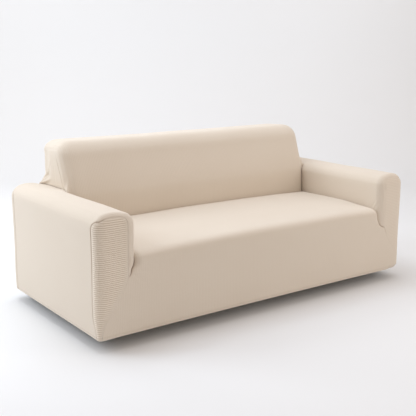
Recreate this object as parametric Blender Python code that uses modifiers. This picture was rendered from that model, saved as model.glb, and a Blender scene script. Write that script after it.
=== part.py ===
"""A fitted stretch slipcover for a three-seat sofa with box arms, as its sewn cloth pieces.

Every piece is an open sheet, shaped over the soft form that it is stretched on and given the cloth's
thickness inwards. Sizes are in metres. The cover is laid out with z = 0 at the front hem, y = 0 at the
front and x = 0 at the middle, and is then moved so that the world's origin is the point under the top of
the back from which it hangs.
"""
import math

import bmesh
import bpy
from mathutils import Vector

# Driving dimensions of the dressed sofa.
HALF_WIDTH = 1.000
DEPTH = 0.965
ARM_TOP = 0.558          # above the hem
ARM_INSIDE = 0.800       # from the middle to an arm's inner side
BACK_TOP = 0.795         # above the hem
BACK_HALF_WIDTH = 0.820
BACK_FRONT = 0.715       # front of the back at its top
BACK_LEAN = 0.210        # how far it leans back for each metre of height
BACK_LEAN_FADES = 0.900  # behind this the back's ends stay upright
BACK_TOP_FALL = 0.007    # how much lower the back's top is at its rear edge
BACK_TOP_FALL_OVER = (0.790, 0.930)  # where that fall starts and ends, behind the front
SEAT_MIDDLE = 0.390      # above the hem
SEAT_CROWN = 0.010       # how much lower the seat is beside the arms
SEAT_RISE = 0.009        # how much higher it is behind its front edge
SEAT_RISE_OVER = (0.03, 0.30)  # where that rise starts and ends, behind the front
SEAT_DROOP = 0.006       # how much lower its front edge is
SEAT_DROOP_OVER = (0.05, 0.30)
SEAT_DROOP_MIDDLE = 0.4  # the share of the droop that is there in the middle too
ARM_CROWN = 0.011        # how much higher an arm's top is in its middle
CLOTH = 0.0015
SEAM_GAP = 0.0003
CORNER_DOT = 0.5         # the rim has a corner where its two inward ways differ by more than this cosine
CORNER_TRIM = 2.0        # a corner is drawn in this many times as far as the rest
WELD = 0.00005           # points nearer than this are one

# Softness of the edges: half the size of the rounding, along each axis.
ARM_SOFT_OUT, ARM_SOFT_IN, ARM_SOFT_ENDS, ARM_SOFT_TOP = 0.056, 0.044, 0.036, 0.056
BACK_SOFT_SIDES, BACK_SOFT_FRONT, BACK_SOFT_REAR, BACK_SOFT_TOP = 0.075, 0.060, 0.045, 0.070
HEM_ROLL = 0.007
HEM_LIP = 0.012
HEM_LIP_LIFT = 0.001
HEM_RISE = 0.004         # the elastic lifts the front hem at mid span
HEM_RISE_REACH = 0.150   # that lift has faded out at this height

# Where the pieces are sewn together.
OUTER_SEAM = 0.055       # behind an arm's front, on its outer side
OUTER_SEAM_TURNS = 0.500  # height at which that seam starts to curve to the front edge
INNER_SEAM = 0.845       # from the middle, on an arm's front
INNER_SEAM_TURN = 0.030
FRONT_TURN_BY = 0.62     # the share of the turn down the inner edge at which the slot takes over
CREASE_X = 0.815         # where an arm's top meets the end of the back
ARM_SHARP_FROM = 0.691   # behind this the arm's inner top edge is covered by the back, and is sharp
ARM_SHARP_BY = 0.715
ARM_SHARP_SOFT = 0.006
ARM_PLAIN_Y = 0.600      # behind the front: here an arm has its plain section
BACK_FOOT_Y = 0.640      # about where the seat meets the back
REAR_SEAM = 0.715        # height on the rear of the back
HANG_Y = 0.860           # the middle of the back's top, from which the cover hangs
COMMON_ROW = 0.100       # behind this all the lines along an arm run level
WIDE_FRONT = 0.270       # height at which the apron starts to spread under the arms
EVEN_FRONT = 0.130       # below this the facing's columns are evenly spread

# The seam between an arm and the seat, from the front seam of the arm back along the slot to the crease.
# over_top, inner: how far behind the arm's front the line lies, over the arm's top and on its inner side;
# a negative value lies on the arm's front. low, seam_z: the same at the seam, and the seam's height.
# mid_y, mid_z: the same line at the middle of the seat or apron.
SLOT_ROWS = (
    # over_top, inner, low, seam_z, mid_y, mid_z
    (0.0000, -0.045, -0.045, 0.270, 0.0000, 0.270),
    (0.0040, -0.038, -0.036, 0.275, 0.0000, 0.276),
    (0.0100, -0.022, -0.020, 0.281, 0.0000, 0.283),
    (0.0155, 0.0000, 0.0000, 0.288, 0.0000, 0.291),
    (0.0211, 0.0150, 0.0120, 0.296, 0.0000, 0.300),
    (0.0275, 0.0300, 0.0240, 0.307, 0.0000, 0.314),
    (0.0360, 0.0450, 0.0320, 0.321, 0.0000, 0.333),
    (0.0470, 0.0560, 0.0350, 0.336, 0.0030, 0.354),
    (0.0620, 0.0700, 0.0420, 0.350, 0.0120, 0.371),
    (0.0800, 0.0850, 0.0560, 0.359, 0.0290, 0.382),
    (0.1000, 0.1000, 0.0760, 0.363, 0.0560, 0.387),
)
SEAT_ROWS_Y = (0.100, 0.160, 0.250, 0.350, 0.450, 0.530, 0.585)
SEAM_UNDER_EDGE = 0.014  # the seat dips to its seams beside the arms and the back

# The apron's side seam on the front: its height, and its distance from the middle.
SPREAD_ROWS = (
    # height, half_width
    (0.270, 0.845), (0.225, 0.865), (0.180, 0.892), (0.130, 0.928), (0.080, 0.957), (0.030, 0.971),
    (HEM_ROLL, 0.974),
)

# The seam on an end of the back, in the plane of that end before its front leans: from the arm, up and
# back to the rear.
END_SEAM = (
    # behind the front, height
    (0.7700, 0.550), (0.7720, 0.600), (0.7760, 0.653), (0.7800, 0.700), (0.7850, 0.735),
    (0.7980, 0.751), (0.8250, 0.757), (0.8700, 0.754), (0.9200, 0.739), (0.9450, 0.715),
)
END_SEAM_FOOT = 0.724    # behind the front: where that seam starts on the arm
END_SEAM_CORNER = 5      # the row above at which the rear piece has its corner
END_FRACTIONS = (0.0, 0.32, 0.60, 0.82, 0.94, 1.0)

# Pulled creases on the ends of the back: soft troughs from the rear corner above the arm.
PULLS = (
    # from_y, from_z, to_y, to_z, half_width, depth
    (0.955, 0.560, 0.845, 0.660, 0.013, 0.0055),
    (0.950, 0.555, 0.835, 0.598, 0.012, 0.0045),
)
PULLS_START = (-0.15, 0.15)  # shares of a trough's length between which it deepens, and then fades
PULLS_FADE = (0.55, 1.05)
PULLS_X = (0.78, 0.83)   # only cloth between these distances from the middle, and behind the next, is pulled
PULLS_Y = 0.800

CREAM = (0.745, 0.640, 0.515, 1.0)
FACING_CREAM = (0.725, 0.620, 0.495, 1.0)


def mix(a, b, share):
    return a + (b - a) * share


def smooth(value, start, end):
    share = min(max((value - start) / (end - start), 0.0), 1.0)
    return share * share * (3.0 - 2.0 * share)


def rounded(soft, steps):
    """Distances from a sharp edge at which a rounding of this size has even steps, up to the edge."""
    return [soft * (1.0 - math.tan(math.radians(45.0 * k / steps))) for k in range(steps + 1)]


def skin(q, low, high, soft_low, soft_high):
    """The point of a soft-edged box that stands for q on the sharp box."""
    core, lean, size = [], [], []
    for k in range(3):
        first, last = low[k] + soft_low[k], high[k] - soft_high[k]
        core.append(min(max(q[k], first), last))
        size.append(soft_low[k] if q[k] < first else soft_high[k])
        lean.append((q[k] - core[k]) / size[k] if size[k] else 0.0)
    length = math.sqrt(sum(v * v for v in lean)) or 1.0
    return Vector([core[k] + size[k] * lean[k] / length for k in range(3)])


def arm_skin(x, y, z):
    """The right arm; behind the back's front its inner top edge is sharp, where the back covers it."""
    inner = mix(ARM_SOFT_IN, ARM_SHARP_SOFT, smooth(y, ARM_SHARP_FROM, ARM_SHARP_BY))
    p = skin((x, y, z), (ARM_INSIDE, 0.0, -1.0), (HALF_WIDTH, DEPTH, ARM_TOP),
             (inner, ARM_SOFT_ENDS, 0.0), (ARM_SOFT_OUT, ARM_SOFT_ENDS, ARM_SOFT_TOP))
    across = min(max((p.x - CREASE_X) / (HALF_WIDTH - CREASE_X), 0.0), 1.0)
    p.z += ARM_CROWN * math.sin(math.pi * across) ** 2 * smooth(p.z, ARM_TOP - ARM_SOFT_TOP, ARM_TOP)
    return p


def back_front(z):
    return BACK_FRONT - BACK_LEAN * (BACK_TOP - z) if z < BACK_TOP else BACK_FRONT


def back_skin(x, y, z):
    """The back rest, a soft box whose front leans."""
    p = skin((x, y, z), (-BACK_HALF_WIDTH, BACK_FRONT, -1.0), (BACK_HALF_WIDTH, DEPTH, BACK_TOP),
             (BACK_SOFT_SIDES, BACK_SOFT_FRONT, 0.0), (BACK_SOFT_SIDES, BACK_SOFT_REAR, BACK_SOFT_TOP))
    leans_by = BACK_FRONT + BACK_SOFT_FRONT
    share = min(max((BACK_LEAN_FADES - p.y) / (BACK_LEAN_FADES - leans_by), 0.0), 1.0)
    p.y += (back_front(p.z) - BACK_FRONT) * share
    p.z -= BACK_TOP_FALL * smooth(p.y, *BACK_TOP_FALL_OVER) * smooth(p.z, REAR_SEAM, BACK_TOP)
    return p


def end_rounding(x):
    """How far the back's front gives way towards its ends."""
    reach = max(abs(x) - (BACK_HALF_WIDTH - BACK_SOFT_SIDES), 0.0) / BACK_SOFT_SIDES
    return BACK_SOFT_FRONT * (1.0 - math.sqrt(1.0 - min(reach, 1.0) ** 2))


def along(rows, share):
    """A point on a smooth curve through rows, at a share of its rows."""
    place = share * (len(rows) - 1)
    k = min(int(place), len(rows) - 2)
    t = place - k
    a, b, c, d = (rows[min(max(n, 0), len(rows) - 1)] for n in (k - 1, k, k + 1, k + 2))
    return [0.5 * (2 * q + (r - p) * t + (2 * p - 5 * q + 4 * r - s) * t * t
                   + (3 * q - p - 3 * r + s) * t ** 3) for p, q, r, s in zip(a, b, c, d)]


def hem_rows(wall, outward):
    """The points under a wall's foot: the turned-in lip, the roll and the wall just above it."""
    def inward(distance, height):
        return Vector((wall.x, wall.y, height)) - outward * distance
    half = HEM_ROLL * (1.0 - math.cos(math.radians(45.0)))
    return [inward(HEM_ROLL + HEM_LIP, HEM_LIP_LIFT), inward(HEM_ROLL, 0.0), inward(half, half)]


def flat_normal(x, y):
    """The level way out of the cover's wall at its foot."""
    x_in = math.copysign(max(abs(x) - (HALF_WIDTH - ARM_SOFT_OUT), 0.0) / ARM_SOFT_OUT, x)
    front = min(y - ARM_SOFT_ENDS, 0.0) / ARM_SOFT_ENDS
    rear = max(y - (DEPTH - ARM_SOFT_ENDS), 0.0) / ARM_SOFT_ENDS
    n = Vector((x_in / ARM_SOFT_OUT, (front + rear) / ARM_SOFT_ENDS, 0.0))
    return n.normalized()


def drape(p):
    """Unevenness that runs across all the pieces: the lifted hem and the pulled creases."""
    p = p.copy()
    if p.y < DEPTH / 2:
        p.z += HEM_RISE * (1.0 - (p.x / HALF_WIDTH) ** 2) * (1.0 - smooth(p.z, 0.0, HEM_RISE_REACH))
    if PULLS_X[0] < abs(p.x) < PULLS_X[1] and p.y > PULLS_Y and p.z > ARM_TOP + CLOTH:
        for y0, z0, y1, z1, half_width, depth in PULLS:
            run = Vector((y1 - y0, z1 - z0))
            far = Vector((p.y - y0, p.z - z0))
            share = far.dot(run) / run.length_squared
            across = abs(far.x * run.y - far.y * run.x) / run.length / half_width
            p.x -= math.copysign(depth, p.x) * math.exp(-across ** 2) * smooth(share, *PULLS_START) \
                * (1.0 - smooth(share, *PULLS_FADE))
    return p


# --- the lines over an arm, in the plane of its front ------------------------------------------------

def outer_seam_depth(z):
    """How far behind the front the outer seam lies at this height."""
    rise = min(max((z - OUTER_SEAM_TURNS) / (ARM_TOP - OUTER_SEAM_TURNS), 0.0), 1.0)
    return OUTER_SEAM * (1.0 - rise * rise)


OUTER_HEIGHTS = (HEM_ROLL, 0.030, 0.100, 0.170, 0.220, 0.270, 0.360, 0.450, 0.500, 0.520, 0.5375, 0.550,
                 ARM_TOP)
TOP_PLACES = (0.9880, 0.9736, 0.955, 0.915, 0.875, 0.838, 0.826, CREASE_X, ARM_INSIDE)
INNER_HEIGHTS = (0.534, 0.513)
INNER_SHARES = (0.35, 0.70, 0.92, 1.0)
INNER_TURN_START = 0.875


def across_arm():
    """The lines over an arm from its outer hem to its inner side: x, z and the turn of the inner seam."""
    lines = [(HALF_WIDTH, z, 0.0) for z in OUTER_HEIGHTS]
    run = (INNER_TURN_START - ARM_INSIDE) + (ARM_TOP - INNER_HEIGHTS[-1])
    for x in TOP_PLACES:
        lines.append((x, ARM_TOP, max(INNER_TURN_START - x, 0.0) / run))
    for z in INNER_HEIGHTS:
        lines.append((ARM_INSIDE, z, (INNER_TURN_START - ARM_INSIDE + ARM_TOP - z) / run))
    return lines


ARM_LINES = across_arm()


def inner_seam_point(turn):
    """The inner seam on an arm's front, as it turns down from the top edge."""
    angle = math.radians(90.0 * turn)
    return (INNER_TURN_START - INNER_SEAM_TURN * math.sin(angle),
            INNER_HEIGHTS[-1] + (ARM_TOP - INNER_HEIGHTS[-1]) * math.cos(angle))


def arm_front_point(x, z, turn, behind, front_share):
    """A point on a line over the arm, behind its front edge, or on its front towards the inner seam."""
    if front_share <= 0.0:
        return arm_skin(x, behind, z)
    seam_x, seam_z = inner_seam_point(turn)
    return arm_skin(mix(x, seam_x, front_share), 0.0, mix(z, seam_z, front_share))


def slot_point(low, seam_z):
    """A point of the seam between an arm and the seat."""
    if low >= 0.0:
        return arm_skin(ARM_INSIDE, low, seam_z)
    return arm_skin(ARM_INSIDE - low, 0.0, seam_z)


def back_foot(x):
    """The height of the seam between the seat and the back."""
    return seat_height(x, BACK_FOOT_Y) - SEAM_UNDER_EDGE


def seat_height(x, y):
    side = min(abs(x) / ARM_INSIDE, 1.0)
    droop = SEAT_DROOP * (1.0 - smooth(y, *SEAT_DROOP_OVER)) * mix(SEAT_DROOP_MIDDLE, 1.0, side ** 4)
    return SEAT_MIDDLE - SEAT_CROWN * side ** 2 - droop + SEAT_RISE * smooth(y, *SEAT_RISE_OVER)


def arm_rows():
    """The lines along an arm up to the back's front: over_top, inner, low and seam_z of each."""
    rows = [row[:4] for row in SLOT_ROWS]
    for y in SEAT_ROWS_Y:
        if y > COMMON_ROW:
            rows.append((y, y, y, seat_height(ARM_INSIDE, y) - SEAM_UNDER_EDGE))
    return rows


def crease_depth(z):
    """Where the back's front meets an arm's inner side."""
    return back_front(z) + end_rounding(ARM_INSIDE)


ARM_CREASE_TOP = arm_skin(CREASE_X, ARM_PLAIN_Y, ARM_TOP)
BEHIND_CREASE = (0.770, 0.830, 0.890)
REAR_ROUNDING = (DEPTH - ARM_SOFT_ENDS, DEPTH - ARM_SOFT_ENDS / 2, DEPTH - ARM_SOFT_ENDS / 6)


def arm_top_crease(y):
    """The crease between an arm's top and the end of the back."""
    start = crease_depth(ARM_CREASE_TOP.z)
    share = min(max((y - start) / (ARM_SHARP_BY - start), 0.0), 1.0)
    return Vector((mix(ARM_CREASE_TOP.x, CREASE_X, share), y, mix(ARM_CREASE_TOP.z, ARM_TOP, share)))


def arm_cover_points():
    """Rows of points along the right arm, each row from the outer hem over the top.

    The row for y = None is the one at the crease with the back's front.
    """
    grid = []
    top_last = len(OUTER_HEIGHTS) + TOP_PLACES.index(CREASE_X)
    front_rows = arm_rows()
    for over_top, inner, low, seam_z in front_rows:
        row = []
        for x, z, turn in ARM_LINES:
            if z <= ARM_TOP and x == HALF_WIDTH:
                depth = outer_seam_depth(z)
                behind = depth + (COMMON_ROW - depth) * over_top / COMMON_ROW if over_top < COMMON_ROW \
                    else over_top
                row.append(arm_skin(x, behind, z))
                continue
            share = smooth(turn, 0.0, FRONT_TURN_BY)
            place = mix(over_top, inner, share)
            front_share = -place / ((INNER_SEAM - ARM_INSIDE) * share) if share else 0.0
            row.append(arm_front_point(x, z, turn, max(place, 0.0), front_share))
        for share in INNER_SHARES:
            row.append(slot_point(mix(inner, low, share), mix(INNER_HEIGHTS[-1], seam_z, share)))
        grid.append(row)
    crease_z = back_foot(ARM_INSIDE)
    for y in (None, ARM_SHARP_BY) + BEHIND_CREASE + REAR_ROUNDING + (DEPTH,):
        row = []
        for x, z, turn in ARM_LINES:
            if y is None:
                section = arm_skin(x, ARM_PLAIN_Y, z)
                on_side = x == HALF_WIDTH
                section.y = crease_depth(ARM_CREASE_TOP.z if on_side else min(section.z, ARM_CREASE_TOP.z))
                row.append(section)
                continue
            depth = outer_seam_depth(z) if x == HALF_WIDTH else 0.0
            behind = DEPTH - depth - (DEPTH - y) * (DEPTH - ARM_SHARP_BY - depth) / (DEPTH - ARM_SHARP_BY)
            row.append(arm_skin(x, behind, z))
        for share in INNER_SHARES:
            z = mix(INNER_HEIGHTS[-1], crease_z, share)
            row.append(arm_skin(ARM_INSIDE, crease_depth(z) if y is None else y, z))
        if y is not None and y <= REAR_ROUNDING[0]:
            row[top_last] = arm_top_crease(y)
        grid.append(row)
    for k, row in enumerate(grid):
        wall = row[0]
        grid[k] = hem_rows(wall, flat_normal(wall.x, wall.y)) + row
    cut_row = len(front_rows)
    cut_column = top_last + 3
    cut = {(j, i) for j in range(cut_row, len(grid) - 1) for i in range(cut_column, len(grid[0]) - 1)}
    return grid, cut


# --- the arm facing -----------------------------------------------------------------------------------

FACING_LOW = tuple(row[0] for row in reversed(SPREAD_ROWS))
FACING_HIGH = (0.340, 0.420, 0.490, 0.513, 0.5316, 0.548, 0.5545, ARM_TOP)


def half_width_at(z):
    for (z1, x1), (z0, x0) in zip(SPREAD_ROWS, SPREAD_ROWS[1:]):
        if z >= z0:
            return mix(x0, x1, min((z - z0) / (z1 - z0), 1.0))
    return SPREAD_ROWS[-1][1]


def facing_columns():
    """Columns of the facing, outer to inner: behind, x and the height at which each one ends."""
    columns = [(outer_seam_depth(z), HALF_WIDTH, z) for z in OUTER_HEIGHTS if z >= OUTER_SEAM_TURNS]
    for x, z, turn in ARM_LINES:
        if z == ARM_TOP and x < HALF_WIDTH and turn == 0.0:
            columns.append((0.0, x, z))
        elif turn > 0.0:
            seam_x, seam_z = inner_seam_point(turn)
            columns.append((0.0, seam_x, seam_z))
    return columns


def facing_points():
    grid = []
    columns = facing_columns()
    corner = [top for _, _, top in columns].index(ARM_TOP)
    for z in FACING_LOW + FACING_HIGH:
        row = []
        for k, (behind, x, top) in enumerate(columns):
            if z <= WIDE_FRONT:
                even = max(k - corner, 0) / (len(columns) - 1 - corner)
                uneven = (HALF_WIDTH - x) / (HALF_WIDTH - INNER_SEAM)
                share = mix(even, uneven, smooth(z, EVEN_FRONT, WIDE_FRONT))
                row.append(arm_skin(mix(HALF_WIDTH, half_width_at(z), share), behind, z))
            else:
                level = WIDE_FRONT + (z - WIDE_FRONT) * (top - WIDE_FRONT) / (ARM_TOP - WIDE_FRONT)
                row.append(arm_skin(x, behind, level))
        grid.append(row)
    under = [hem_rows(p, flat_normal(p.x, p.y)) for p in grid[0]]
    return [[column[k] for column in under] for k in range(3)] + grid, set()


# --- the seat and its apron ---------------------------------------------------------------------------

# Places across the back, from the middle to where its front turns round its end.
BACK_PLACES = (0.0, 0.160, 0.320, 0.480, 0.620, 0.700, 0.745, 0.7761)
BACK_TURN = [ARM_INSIDE - back_skin(x, BACK_FRONT, SEAT_MIDDLE).x
             for x in (BACK_HALF_WIDTH, BACK_PLACES[-1], BACK_PLACES[-2])]

# Places across the seat: steps in from its edge, some of them at the back's places, and the rest.
SEAT_EDGE_STEPS = (0.0, BACK_TURN[0], 0.0061, 0.0140, BACK_TURN[1], BACK_TURN[2])
SEAT_PLACES = BACK_PLACES[-3::-1]
SEAT_EDGE_BLEND = 0.035
SEAT_MIDDLE_LIFT = 0.003
DECK_FROM, DECK_BY = 0.335, 0.387  # heights between which the seat's front edge turns into its top

# The seat's last rows: how far each lies before the crease with the back, and below the seat.
CREASE_ROWS = ((0.016, 0.0015), (0.006, 0.005), (0.0, SEAM_UNDER_EDGE))


def seat_points():
    """Rows from the front hem up the apron, over the seat's edge and back to the crease."""
    rows = []
    for z, half_width in reversed(SPREAD_ROWS[1:]):
        rows.append((arm_skin(half_width, 0.0, z), 0.0, z))
    for _, _, low, seam_z, mid_y, mid_z in SLOT_ROWS:
        rows.append((slot_point(low, seam_z), mid_y, mid_z))
    for y in SEAT_ROWS_Y:
        if y > COMMON_ROW:
            edge = arm_skin(ARM_INSIDE, y, seat_height(ARM_INSIDE, y) - SEAM_UNDER_EDGE)
            rows.append((edge, y, None))
    for before, under in CREASE_ROWS:
        edge_z = back_foot(ARM_INSIDE)
        edge = Vector((ARM_INSIDE, crease_depth(edge_z) - before, edge_z))
        rows.append((edge, -before, -under))
    grid = []
    for edge, mid_y, mid_z in rows:
        half_width = edge.x
        places = [half_width - step for step in SEAT_EDGE_STEPS] + list(SEAT_PLACES)
        row = []
        for x in places:
            base = seat_base(x, mid_y, mid_z)
            rim = seat_base(half_width, mid_y, mid_z)
            pull = max(1.0 - (half_width - x) / SEAT_EDGE_BLEND, 0.0)
            curl = 1.0 - math.sqrt(1.0 - pull * pull)
            p = Vector(base) + (edge - Vector(rim)) * curl
            p.x = x
            row.append(p)
        row = [Vector((-p.x, p.y, p.z)) for p in row[:-1]] + row[::-1]
        grid.append(row)
    under = [hem_rows(p, flat_normal(p.x, p.y)) for p in grid[0]]
    return [[column[k] for column in under] for k in range(3)] + grid, set()


def seat_base(x, mid_y, mid_z):
    """The seat's surface away from its edges; a negative height is counted from the crease at the back."""
    if mid_z is None:
        return (x, mid_y, seat_height(x, mid_y))
    if mid_z < 0.0:
        seam = back_seam_point(x)
        return (x, seam.y + mid_y, seam.z + SEAM_UNDER_EDGE + mid_z)
    if mid_z > DECK_FROM:
        fall = SEAT_MIDDLE - seat_height(x, mid_y)
        return (x, mid_y, mid_z + SEAT_MIDDLE_LIFT - fall * smooth(mid_z, DECK_FROM, DECK_BY))
    return (x, mid_y, mid_z)


# --- the back ---------------------------------------------------------------------------------------

ARM_CREASE = {p.z: p.x for p in (arm_skin(ARM_INSIDE, ARM_PLAIN_Y, INNER_HEIGHTS[0]),
                                arm_skin(ARM_INSIDE, ARM_PLAIN_Y, ARM_TOP), ARM_CREASE_TOP)}
FRONT_HEIGHTS = (back_foot(ARM_INSIDE), 0.383, 0.406, 0.450, INNER_HEIGHTS[-1]) + tuple(ARM_CREASE)
FOOT_LEVELS_OUT = (0.377, 0.450)  # heights between which the back's rows turn level
BACK_FRONT_HEIGHTS = (0.600, 0.660, 0.705)
BACK_TOP_DEPTHS = (0.820, 0.870)


def front_row(z):
    """The points across the right half of the back's front, from the middle to the crease on the arm."""
    row = []
    for x in BACK_PLACES + (BACK_HALF_WIDTH,):
        p = back_skin(x, BACK_FRONT, z)
        p.z = mix(z, z + back_foot(p.x) - FRONT_HEIGHTS[0], 1.0 - smooth(z, *FOOT_LEVELS_OUT))
        p.y += back_front(p.z) - back_front(z)
        row.append(p)
    return row + [Vector((ARM_CREASE.get(z, ARM_INSIDE), crease_depth(z), z))]


def back_seam_point(x):
    """A point of the seam between the seat and the back, on the same straight steps as the back's foot."""
    row = front_row(FRONT_HEIGHTS[0])
    for a, b in zip(row, row[1:]):
        if x <= b.x:
            return a.lerp(b, (x - a.x) / (b.x - a.x))
    return row[-1]


def back_outline():
    """The line up the back's front, over its top and down its rear, from the arm's top to the rear seam."""
    soft_z = rounded(BACK_SOFT_TOP, 3)
    line = [(BACK_FRONT, z) for z in (ARM_CREASE_TOP.z,) + BACK_FRONT_HEIGHTS]
    line += [(BACK_FRONT, BACK_TOP - d) for d in soft_z]
    line += [(BACK_FRONT + d, BACK_TOP) for d in reversed(rounded(BACK_SOFT_FRONT, 3)[:-1])]
    line += [(y, BACK_TOP) for y in BACK_TOP_DEPTHS]
    line += [(DEPTH - d, BACK_TOP) for d in rounded(BACK_SOFT_REAR, 2)]
    line += [(DEPTH, BACK_TOP - d) for d in reversed(rounded(BACK_SOFT_TOP, 2)[:-1])]
    return line + [(DEPTH, REAR_SEAM)]


OUTLINE = back_outline()
OUTLINE_TOP = 7          # the place in it of the edge between the front and the top
END_STEPS_REAR = len(OUTLINE) - 1 - OUTLINE_TOP
END_FOOT_HEIGHT = 0.030
REAR_HEIGHTS = (HEM_ROLL, 0.030, 0.120, 0.240, 0.360, 0.450, 0.500, 0.513, 0.5316, 0.548, 0.5545, ARM_TOP)
REAR_RISE_ENDS = (0.965, 1.0)  # the last shares of the rise from the arms' top to the rear seam
REAR_BLEND = 0.060       # the height over which the arms' rear turns into that of the back


def end_seam(k):
    """The end seam beside the k-th point of the outline, in the plane of the back's end."""
    share = END_SEAM_CORNER / (len(END_SEAM) - 1)
    if k <= OUTLINE_TOP:
        return along(END_SEAM, share * k / OUTLINE_TOP)
    return along(END_SEAM, mix(share, 1.0, (k - OUTLINE_TOP) / END_STEPS_REAR))


def foot(p, crease):
    """Pull the lowest part of the back's end out to the crease on the arm."""
    share = 1.0 - smooth(p.z, ARM_TOP, ARM_TOP + END_FOOT_HEIGHT)
    return p + Vector(((crease.x - p.x) * share, 0.0, 0.0))


def mirrored(row):
    """A row from the middle to the right, completed to run from the left to the right."""
    return [Vector((-p.x, p.y, p.z)) for p in reversed(row[1:])] + row


END_FOOT = (crease_depth(ARM_CREASE_TOP.z), 0.700, ARM_SHARP_BY, 0.7195, END_SEAM_FOOT)


def inside_back_points():
    lower, upper = [], []
    for z in FRONT_HEIGHTS:
        lower.append(mirrored(front_row(z)))
    for k, (y, z) in enumerate(OUTLINE):
        row = [back_skin(x, y, z) for x in BACK_PLACES]
        seam_y, seam_z = end_seam(k)
        for share in END_FRACTIONS:
            p = back_skin(BACK_HALF_WIDTH, mix(y, seam_y, share), mix(z, seam_z, share))
            if k == 0 and share > 0.0:
                p = arm_top_crease(END_FOOT[END_FRACTIONS.index(share) - 1])
            elif k < OUTLINE_TOP and share > 0.0:
                p = foot(p, arm_top_crease(p.y))
            row.append(p)
        upper.append(mirrored(row))
    return (lower, set()), (upper, set())


def outside_back_points():
    """The rear of the cover: its lower part between the arms' outer seams, and its upper part."""
    columns = [(x, 0.0, ARM_TOP) for x in BACK_PLACES]
    arm_part = [(x, 0.0, ARM_TOP) for x in sorted(TOP_PLACES) if x >= CREASE_X]
    arm_part += [(HALF_WIDTH, outer_seam_depth(z), z) for z in reversed(OUTER_HEIGHTS)
                 if z >= OUTER_SEAM_TURNS]
    columns += arm_part
    lower = []
    for z in REAR_HEIGHTS:
        row = []
        for x, before, top in columns:
            level = z if z <= WIDE_FRONT else \
                WIDE_FRONT + (z - WIDE_FRONT) * (top - WIDE_FRONT) / (ARM_TOP - WIDE_FRONT)
            p = arm_skin(max(x, CREASE_X), DEPTH - before, level)
            share = smooth(x, BACK_PLACES[4], CREASE_X)
            row.append(Vector((x if x < CREASE_X else p.x, mix(DEPTH, p.y, share), p.z)))
        lower.append(mirrored(row))
    under = [hem_rows(p, flat_normal(p.x, p.y)) for p in lower[0]]
    lower = [[column[k] for column in under] for k in range(3)] + lower
    shelf = lower[-1][len(lower[-1]) // 2:]

    upper = []
    rise_shares = [k / OUTLINE_TOP for k in range(OUTLINE_TOP)] + list(REAR_RISE_ENDS)
    rear_steps = [k / END_STEPS_REAR for k in range(END_STEPS_REAR, -1, -1)]
    for number, rise in enumerate(rise_shares):
        z = mix(shelf[0].z, REAR_SEAM, rise)
        blend = smooth(z, shelf[0].z, shelf[0].z + REAR_BLEND)
        row = []
        for low, x in zip(shelf, BACK_PLACES + (BACK_HALF_WIDTH,)):
            straight_up = low + Vector((0.0, 0.0, z - shelf[0].z))
            row.append(straight_up.lerp(back_skin(x, DEPTH, z), blend))
        for t in rear_steps:
            q_y, q_z = end_patch(rise, t)
            p = back_skin(BACK_HALF_WIDTH, q_y, q_z)
            if number == 0:
                before = rear_steps.index(t)
                behind = REAR_ROUNDING[-1 - before] if before < len(REAR_ROUNDING) else \
                    mix(END_SEAM_FOOT, REAR_ROUNDING[0], t / rear_steps[len(REAR_ROUNDING) - 1])
                p = arm_skin(CREASE_X, behind, ARM_TOP)
            else:
                p = foot(p, arm_top_crease(p.y))
            row.append(p)
        upper.append(mirrored(row))
    return (lower, set()), (upper, set())


def end_patch(rise, t):
    """A point in the plane of the back's end, between its seam and its rear edge (t = 1)."""
    corner = END_SEAM_CORNER / (len(END_SEAM) - 1)
    step = min(int(rise * OUTLINE_TOP + 1e-6), OUTLINE_TOP - 1)
    side = [mix(a, b, rise * OUTLINE_TOP - step) for a, b in zip(end_seam(step), end_seam(step + 1))]
    top = along(END_SEAM, mix(corner, 1.0, t))
    foot_left, foot_right = END_SEAM[0], (END_SEAM[-1][0], END_SEAM[0][1])
    bottom = [mix(a, b, t) for a, b in zip(foot_left, foot_right)]
    rear = [END_SEAM[-1][0], mix(END_SEAM[0][1], END_SEAM[-1][1], rise)]
    corner_left, corner_right = END_SEAM[END_SEAM_CORNER], END_SEAM[-1]
    point = []
    for axis in range(2):
        ruled = mix(bottom[axis], top[axis], rise) + mix(side[axis], rear[axis], t)
        high = mix(corner_left[axis], corner_right[axis], t)
        point.append(ruled - mix(bottom[axis], high, rise))
    return point


# --- from points to cloth -----------------------------------------------------------------------------

def add_patch(bm, points, cut):
    """A grid of faces through rows of points, without the faces that are cut out of it."""
    rows, columns = len(points), len(points[0])
    made = bmesh.ops.create_grid(bm, x_segments=columns - 1, y_segments=rows - 1, size=0.5)["verts"]
    place = {v: (round((v.co.y + 0.5) * (rows - 1)), round((v.co.x + 0.5) * (columns - 1))) for v in made}
    faces = {face for v in made for face in v.link_faces}
    corner = {face: tuple(min(place[v][axis] for v in face.verts) for axis in range(2)) for face in faces}
    for v, (j, i) in place.items():
        v.co = drape(points[j][i])
    bmesh.ops.delete(bm, geom=[face for face in faces if corner[face] in cut], context="FACES")


def trim_rim(bm):
    """Draw the rim of a sheet in by half the seam gap, square to its edges, and its corners by more."""
    moves = {}
    for v in bm.verts:
        ways = []
        for edge in v.link_edges:
            if edge.is_boundary:
                run = (edge.verts[1].co - edge.verts[0].co).normalized()
                inward = edge.link_faces[0].calc_center_median() - edge.verts[0].co
                ways.append((inward - run * inward.dot(run)).normalized())
        if ways:
            first, second = ways
            moves[v] = (first + second) / (1.0 + first.dot(second))
            if first.dot(second) < CORNER_DOT:
                moves[v] *= CORNER_TRIM
    for v, move in moves.items():
        v.co += move * SEAM_GAP / 2.0


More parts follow.
